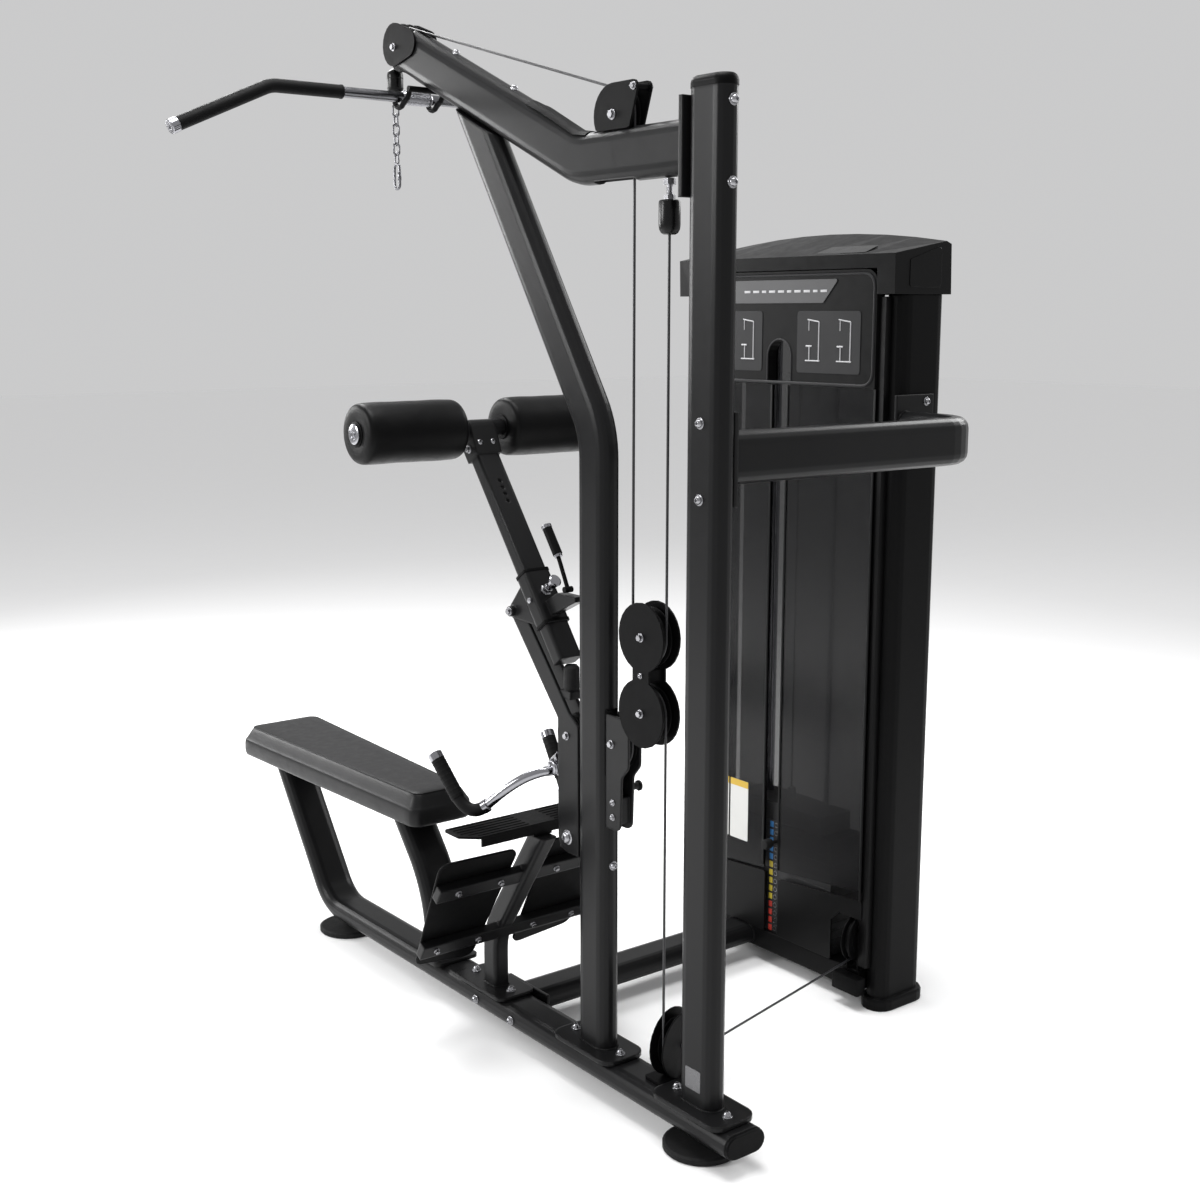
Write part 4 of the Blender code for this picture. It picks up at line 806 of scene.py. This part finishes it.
WHEELS = (("front_wheel", front_axle, X_AXIS, PULLEY_R),
          ("rear_boom_wheel", rear_axle, X_AXIS, PULLEY_R),
          ("block_upper_wheel", top_wheel, X_AXIS, LOOP_R),
          ("block_lower_wheel", low_wheel, X_AXIS, LOOP_R),
          ("base_wheel", base_wheel, base_axis, PULLEY_R),
          ("tower_low_wheel", tower_wheel, base_axis, TOWER_LOW_R),
          ("row_rear_wheel", row_rear, X_AXIS, ROW_REAR_R),
          ("row_front_wheel", row_front, X_AXIS, ROW_FRONT_R))
for body, w, axis, r in WHEELS:
    trim = Shape()
    for sign in (1, -1):
        a = axis * sign
        rim_line = [(0, r * 0.80), (0.0007, r * 0.78), (0.0007, r * 0.70), (0, r * 0.68)]
        trim.turned(w + a * 0.0108, a, rim_line, 32)
        trim.turned(w + a * 0.0108, a, [(0, 0.0135), (0.0010, 0.0130), (0.0010, 0.0085)], 24)
    trim.done(body + "_trim", BLACK, body, "black_plastic")

# --------------------------------------------------------------- frame details

def over_bend(base, n, r, a):
    """Point at a degrees round base, in the plane of X and n."""
    return base + X_AXIS * (r * cos(radians(a))) + n * (r * sin(radians(a)))


# curved strip along the top of the boom's bend, then the cap of the rear post
details = Shape()
strip_pts = [(-0.545, boom_top(-0.545)), (-0.500, boom_top(-0.500)), (-0.450, boom_top(-0.450) - 0.001),
             (-0.415, boom_top(-0.415) - 0.003), (-0.385, 1.9655), (-0.350, 1.9630)]
rings = []
for k, (y, z) in enumerate(strip_pts):
    edge_in = 0.0 if 0 < k < len(strip_pts) - 1 else -0.0028
    slope = 0.0 if y > -0.37 else BOOM_SLOPE
    n = Vector((0, slope, 1)).normalized()
    base = Vector((0, y, z)) - n * 0.025
    ring = [over_bend(base, n, 0.0290 + edge_in, a) for a in range(40, 141, 10)]
    ring += [over_bend(base, n, 0.0246, a) for a in range(140, 39, -10)]
    rings.append([details.bm.verts.new(p) for p in ring])
details.join(rings)
cap_pts = rounded(rectangle(-0.0259, -0.0509, 0.0259, 0.0509), 0.0256, 8)
rings = []
for z, k in ((2.0085, 1.0), (2.0165, 1.0), (2.0215, 0.96), (2.0262, 0.86), (2.0290, 0.70), (2.0298, 0.4)):
    rings.append([details.bm.verts.new((a * k, b * (1 - (1 - k) * 0.5), z)) for a, b in cap_pts])
details.join(rings)
details.done("frame_caps", BLACK, "root", "black_plastic")


def weld_bead(shape, outline, z, r=0.0022):
    """Rippled bead round a tube where it meets its plate."""
    pts = []
    for i, (x, y) in enumerate(outline):
        pts.append(Vector((x, y, z + 0.0004 * sin(i * 2.1))))
    shape.tube(pts, r, 8, closed=True)


def flat_oval(wide_u, wide_v, cx, cy, steps=9):
    """Outline with two straight sides and two round ends, about (cx, cy)."""
    r = min(wide_u, wide_v) / 2
    reach = max(wide_u, wide_v) / 2 - r
    pts = []
    for e in (0, 1):
        for i in range(steps + 1):
            a = -pi / 2 + pi * i / steps + pi * e
            along = (reach if e == 0 else -reach) + r * cos(a)
            across = r * sin(a)
            pts.append((along, across) if wide_u >= wide_v else (-across, along))
    return [(cx + a, cy + b) for a, b in pts]


beads = Shape()
BEAD_R = 0.0022
weld_bead(beads, flat_oval(*TUBE, 0, 0), 0.0958)
weld_bead(beads, flat_oval(0.051, 0.098, 0, -0.3325), 0.0958)
weld_bead(beads, flat_oval(0.101, 0.051, 0, -0.935), 0.0942)
weld_bead(beads, rounded(rectangle(-0.0205, -0.748, 0.0205, -0.695), 0.009, 4), 0.0938)
upper_arm = flat_oval(*TUBE, 0, 1.357)
beads.tube([(-0.0356, a, b) for a, b in upper_arm], BEAD_R, 8, closed=True)
beads.tube([(-0.745 + a, -0.1945, b) for a, b in upper_arm], BEAD_R, 8, closed=True)
beads.tube([(a, -0.0608, b) for a, b in flat_oval(*TUBE, 0, BOOM_MID_Z)], BEAD_R, 8, closed=True)
for x in (-0.0595, -0.7220):
    beads.tube([(x, -0.670 + a, b) for a, b in flat_oval(0.101, 0.051, 0, 0.060)], BEAD_R, 8, closed=True)
beads.done("weld_beads", FRAME, "root", "frame", smooth=80)

block_pad = Shape()
block_pad.box((-0.7190, -0.318, 0.036), (-0.6900, -0.236, 0.078), 0.004)
block_pad.done("tower_base_block", BLACK, "root", "black_plastic")

label = Shape()
label.plate(rounded(rectangle(-0.022, 0.128, 0.022, 0.172), 0.003, 3), yz_place, 0.0246, 0.0256)
label.done("rating_plate", ALLOY, "root", "frame")

# foot plates: rims and raised tread bars
bars = Shape()
up = (FOOT_BAR_HIGH - FOOT_BAR_LOW).normalized()
out = Vector((0, -up.z, up.y))
base = FOOT_BAR_LOW
for sign in (1, -1):
    for k in range(9):
        s = -0.030 + k * 0.034
        wide = 0.190 + 0.028 * (k / 8)
        a = base + out * 0.0156 + up * s
        pts = [a + X_AXIS * (sign * 0.068), a + X_AXIS * (sign * wide)]
        bars.tube(pts, 0.0016, 8)
    edge_pts = rounded([(0.057, -0.083), (0.210, -0.0605), (0.241, 0.266), (0.042, 0.260)], 0.022, 5)
    rim_pts = [base + out * 0.0128 + X_AXIS * (sign * x) + up * s for x, s in edge_pts]
    bars.tube(rim_pts, 0.0030, 8, closed=True)
bars.done("foot_plate_ribs", BLACK, "root", "black_plastic", smooth=60)
ribs = Shape()
for k in range(6):
    y = -0.6100 + k * 0.0145
    half = 0.190 if y < -0.562 else 0.190 - (y + 0.562) * 1.05
    for sign in (1, -1):
        ribs.tube([(sign * 0.034, y, 0.5301), (sign * half, y, 0.5301)], 0.0013, 8)
ribs.done("tread_ribs", BLACK, "root", "black_plastic", smooth=60)

# --------------------------------------------------------------- weight stack

lo, hi = span("lifted_plates")
plo, phi = span("resting_plates")
front = phi[0]
centre_y = (plo[1] + phi[1]) / 2
RESTING = 11
PITCH = (phi[2] - plo[2]) / RESTING
SOCKET = [(0, 0.0068), (0.0016, 0.0066), (0.0016, 0.0048), (0.0006, 0.0046)]


def tags(name, z0, count, first, body):
    """Coloured tag on each of count plates, counted up from z0."""
    for k in range(count):
        i = first + k
        mat = BLUE_TAG if i >= 9 else (YELLOW_TAG if i >= 4 else RED_TAG)
        s = Shape()
        z = z0 + k * PITCH
        s.box((front - 0.001, centre_y - 0.0215, z + 0.003),
              (front + 0.0010, centre_y - 0.0095, z + PITCH - 0.003), 0.0004)
        s.done(f"{name}_{i}", mat, body, "plate_steel")


def sockets(name, z0, plates, body):
    """Pin socket in the front edge of each plate, counted up from z0."""
    holes = Shape()
    for k in plates:
        holes.turned((front - 0.0008, centre_y, z0 + (k + 0.5) * PITCH), X_AXIS, SOCKET, 16)
    holes.done(name, ALLOY, body, "chrome")


tags("tag_rest", plo[2], RESTING, 0, "root")
tags("tag_lift", lo[2], 3, RESTING, "lifted_stack")
sockets("pin_sockets_rest", plo[2], range(RESTING), "root")
sockets("pin_sockets_lift", lo[2], range(1, 3), "lifted_stack")
bush = Shape()
for node in ("guide_rod_near", "guide_rod_far"):
    c = mid(node)
    bush.turned((c.x, c.y, hi[2] - 0.060), Z_AXIS,
                [(0, 0.0100), (0.0005, 0.0165), (0.008, 0.0160), (0.010, 0.0120)], 24)
bush.done("guide_bushes", BLACK, "lifted_stack", "black_plastic")
pads = Shape()
for node in ("guide_rod_near", "guide_rod_far"):
    c = mid(node)
    pads.turned((c.x, c.y, 0.0850), Z_AXIS, [(0, 0.0260), (0.004, 0.0270), (0.007, 0.0200)], 24)
pads.done("stack_pads", RUBBER, "root", "rubber")
knob = Shape()
klo, khi = span("selector_pin")
knob.turned((khi[0] - 0.022, centre_y, (klo[2] + khi[2]) / 2), X_AXIS,
            [(0, 0.0114), (0.003, 0.0128), (0.010, 0.0122), (0.018, 0.0128), (0.0215, 0.0112),
             (0.0222, 0.0060)], 24)
knob.done("selector_knob", RUBBER, "weight_pin", "rubber")

# ----------------------------------------------------------- covers and placard

kick = Shape()
for node in ("shroud_near", "shroud_far"):
    lo, hi = span(node)
    near = "near" in node
    a, b = lo[1], hi[1]
    outline = [(a, 0.088), (b, 0.088), (b, 0.246), (a, 0.224)]
    if near:
        outline = [(a, 0.088), (-0.350, 0.088), (-0.350, 0.190), (-0.325, 0.215),
                   (b, 0.215), (b, 0.262), (a, 0.236)]
    kick.plate(rounded(outline, 0.006, 3), yz_place, -0.7200, -0.7155)
kick.done("kick_panels", PANEL, "root", "black_plastic")

seal = Shape()
for y0, y1 in ((-0.2620, -0.2360), (-0.8770, -0.8510)):
    seal.box((-0.7450, y0, 0.1000), (-0.7178, y1, 1.6550), 0.0015)
seal.done("tower_side_seals", PANEL, "root", "black_plastic")
rim = Shape()
for node in ("shroud_near", "shroud_far"):
    lo, hi = span(node)
    for y in (lo[1] + 0.003, hi[1] - 0.003):
        rim.box((-0.7170, y - 0.003, 0.262), (-0.7100, y + 0.003, 1.4530), 0.0008)
rim.done("shroud_edges", PANEL, "root", "black_plastic")

plo, phi = span("placard")
face = phi[0]
title = Shape()
title.plate(rounded([(-0.417, 1.642), (-0.835, 1.642), (-0.835, 1.695), (-0.370, 1.695)], 0.004, 4),
            yz_place, face - 0.002, face + 0.0022)
title.done("title_panel", PLATE_GREY, "root", "black_plastic")
dash = Shape()
y = -0.405
for w in (0.020, 0.014, 0.020, 0.020, 0.014, 0.020, 0.020, 0.014, 0.020, 0.020):
    dash.box((face + 0.0015, y - w, 1.6660), (face + 0.0028, y, 1.6715), 0.0004)
    y -= w + 0.010
dash.done("title_dashes", PALE, "root", "black_plastic")

fields = Shape()
prints = Shape()
# one generic machine diagram: start and end of each stroke (y from its middle, z), then its radius
STROKES = ((0.020, 1.510, 0.020, 1.600, 0.0016),
           (0.020, 1.600, -0.016, 1.605, 0.0016),
           (0.024, 1.512, -0.022, 1.512, 0.0016),
           (-0.010, 1.512, -0.010, 1.545, 0.0016),
           (-0.002, 1.545, -0.020, 1.545, 0.0022),
           (-0.012, 1.604, -0.012, 1.580, 0.0012))
for y0, y1 in ((-0.300, -0.498), (-0.615, -0.813)):
    fields.plate(rounded(rectangle(y0, 1.484, y1, 1.624), 0.008, 4), yz_place, face - 0.002, face + 0.0012)
for c in (-0.350, -0.448, -0.665, -0.763):
    f = face + 0.0014
    for y0, z0, y1, z1, w in STROKES:
        prints.tube([(f, c + y0, z0), (f, c + y1, z1)], w, 6)
fields.done("diagram_fields", FIELD, "root", "black_plastic")
prints.done("diagram_lines", PALE, "root", "black_plastic")

border = Shape()
rim_line = [(-0.262, 1.460), (-0.262, 1.706), (-0.851, 1.706), (-0.851, 1.460)]
corner = rounded(rim_line, 0.030, 6)
border.tube([(face, y, z) for y, z in corner], 0.0034, 8, closed=True)
SLOT_R = 0.0395
slot = [(face, -0.5960, 1.4560)]
for a in range(0, 181, 12):
    slot.append((face, -0.5565 - SLOT_R * cos(radians(a)), 1.5200 + SLOT_R * sin(radians(a))))
slot.append((face, -0.5170, 1.4560))
border.tube(slot, 0.0022, 8)
border.done("slot_border", FIELD, "root", "black_plastic", smooth=60)

clo, chi = span("tower_cap")
recess = Shape()
nose = Vector((-0.701, 0, 1.747))
top = Vector((-0.868, 0, 1.800))
slope_dir = (top - nose).normalized()
lift = Vector((-slope_dir.z, 0, slope_dir.x))
pts = rounded([(0.014, -0.300), (0.014, -0.580), (0.070, -0.570), (0.070, -0.310)], 0.006, 4)
recess.plate(pts, lambda a, b, c: nose + slope_dir * a + Y_AXIS * b + lift * c, 0.0000, 0.0030)
recess.done("visor_blank", GLOSS, "root", "black_plastic")
side = Shape()
for y, sgn in ((chi[1], 1), (clo[1], -1)):
    side.plate(rounded([(-0.750, 1.675), (-0.852, 1.675), (-0.852, 1.765), (-0.750, 1.735)], 0.008, 4),
               lambda a, b, c, y=y, sgn=sgn: Vector((a, y + sgn * c, b)), -0.001, 0.0014)
side.done("cap_side_blanks", GLOSS, "root", "black_plastic")

notes = Shape()
heads = Shape()
for y0 in (-0.777, -0.706):
    notes.plate(rounded(rectangle(y0, 0.305, y0 + 0.065, 0.460), 0.003, 3), yz_place, -0.7121, -0.7113)
    heads.box((-0.7118, y0, 0.443), (-0.7109, y0 + 0.065, 0.460))
notes.done("blank_labels", WHITE, "root", "smoked_panel")
heads.done("label_bands", YELLOW, "root", "smoked_panel")

# ------------------------------------------------------ floor, light and camera

floor_mat = surface("studio_floor", (0.985, 0.985, 0.985), 0.95, grain=300, bump=0.01, spread=0.04,
                    tint=0.01, edge=0, specular=0.1)
mesh = bpy.data.meshes.new("floor")
bm = bmesh.new()
bmesh.ops.create_grid(bm, x_segments=2, y_segments=2, size=30)
bm.to_mesh(mesh)
bm.free()
floor = bpy.data.objects.new("floor", mesh)
mesh.materials.append(floor_mat)
floor.location = (0, 0, -0.0005)
scene.collection.objects.link(floor)

world = bpy.data.worlds.new("studio")
world.use_nodes = True
sky = world.node_tree.nodes["Background"]
sky.inputs["Color"].default_value = (0.90, 0.90, 0.905, 1)
sky.inputs["Strength"].default_value = 0.66
scene.world = world

target = Vector((-0.30, -0.70, 1.05))


def area(name, place, power, size, aim=target):
    """Square lamp at place, turned towards aim."""
    data = bpy.data.lights.new(name, "AREA")
    data.energy = power
    data.shape = "RECTANGLE"
    data.size = size
    data.size_y = size
    obj = bpy.data.objects.new(name, data)
    obj.location = place
    obj.rotation_euler = (Vector(aim) - Vector(place)).to_track_quat("-Z", "Y").to_euler()
    scene.collection.objects.link(obj)


area("key", (4.2, -2.8, 2.9), 150, 1.6)
area("top", (0.0, -0.6, 4.6), 120, 1.8)
area("rim", (1.4, -4.9, 2.1), 80, 1.5, (0, -1.3, 0.5))
area("hair", (-0.5, -4.0, 4.4), 110, 1.6, (0, -0.7, 1.9))
area("back", (-3.6, -0.6, 3.2), 70, 1.8)

cam_data = bpy.data.cameras.new("camera")
cam_data.lens = 47.41
cam_data.sensor_width = 36.0
cam_data.clip_end = 100
camera = bpy.data.objects.new("camera", cam_data)
yaw, pitch = radians(142.35), radians(10.266)
look = Vector((-sin(yaw) * cos(pitch), cos(yaw) * cos(pitch), -sin(pitch)))
camera.location = (1.91712, 2.15659, 1.61792)
camera.rotation_euler = look.to_track_quat("-Z", "Y").to_euler()
scene.collection.objects.link(camera)
scene.camera = camera
scene.view_settings.view_transform = "Standard"
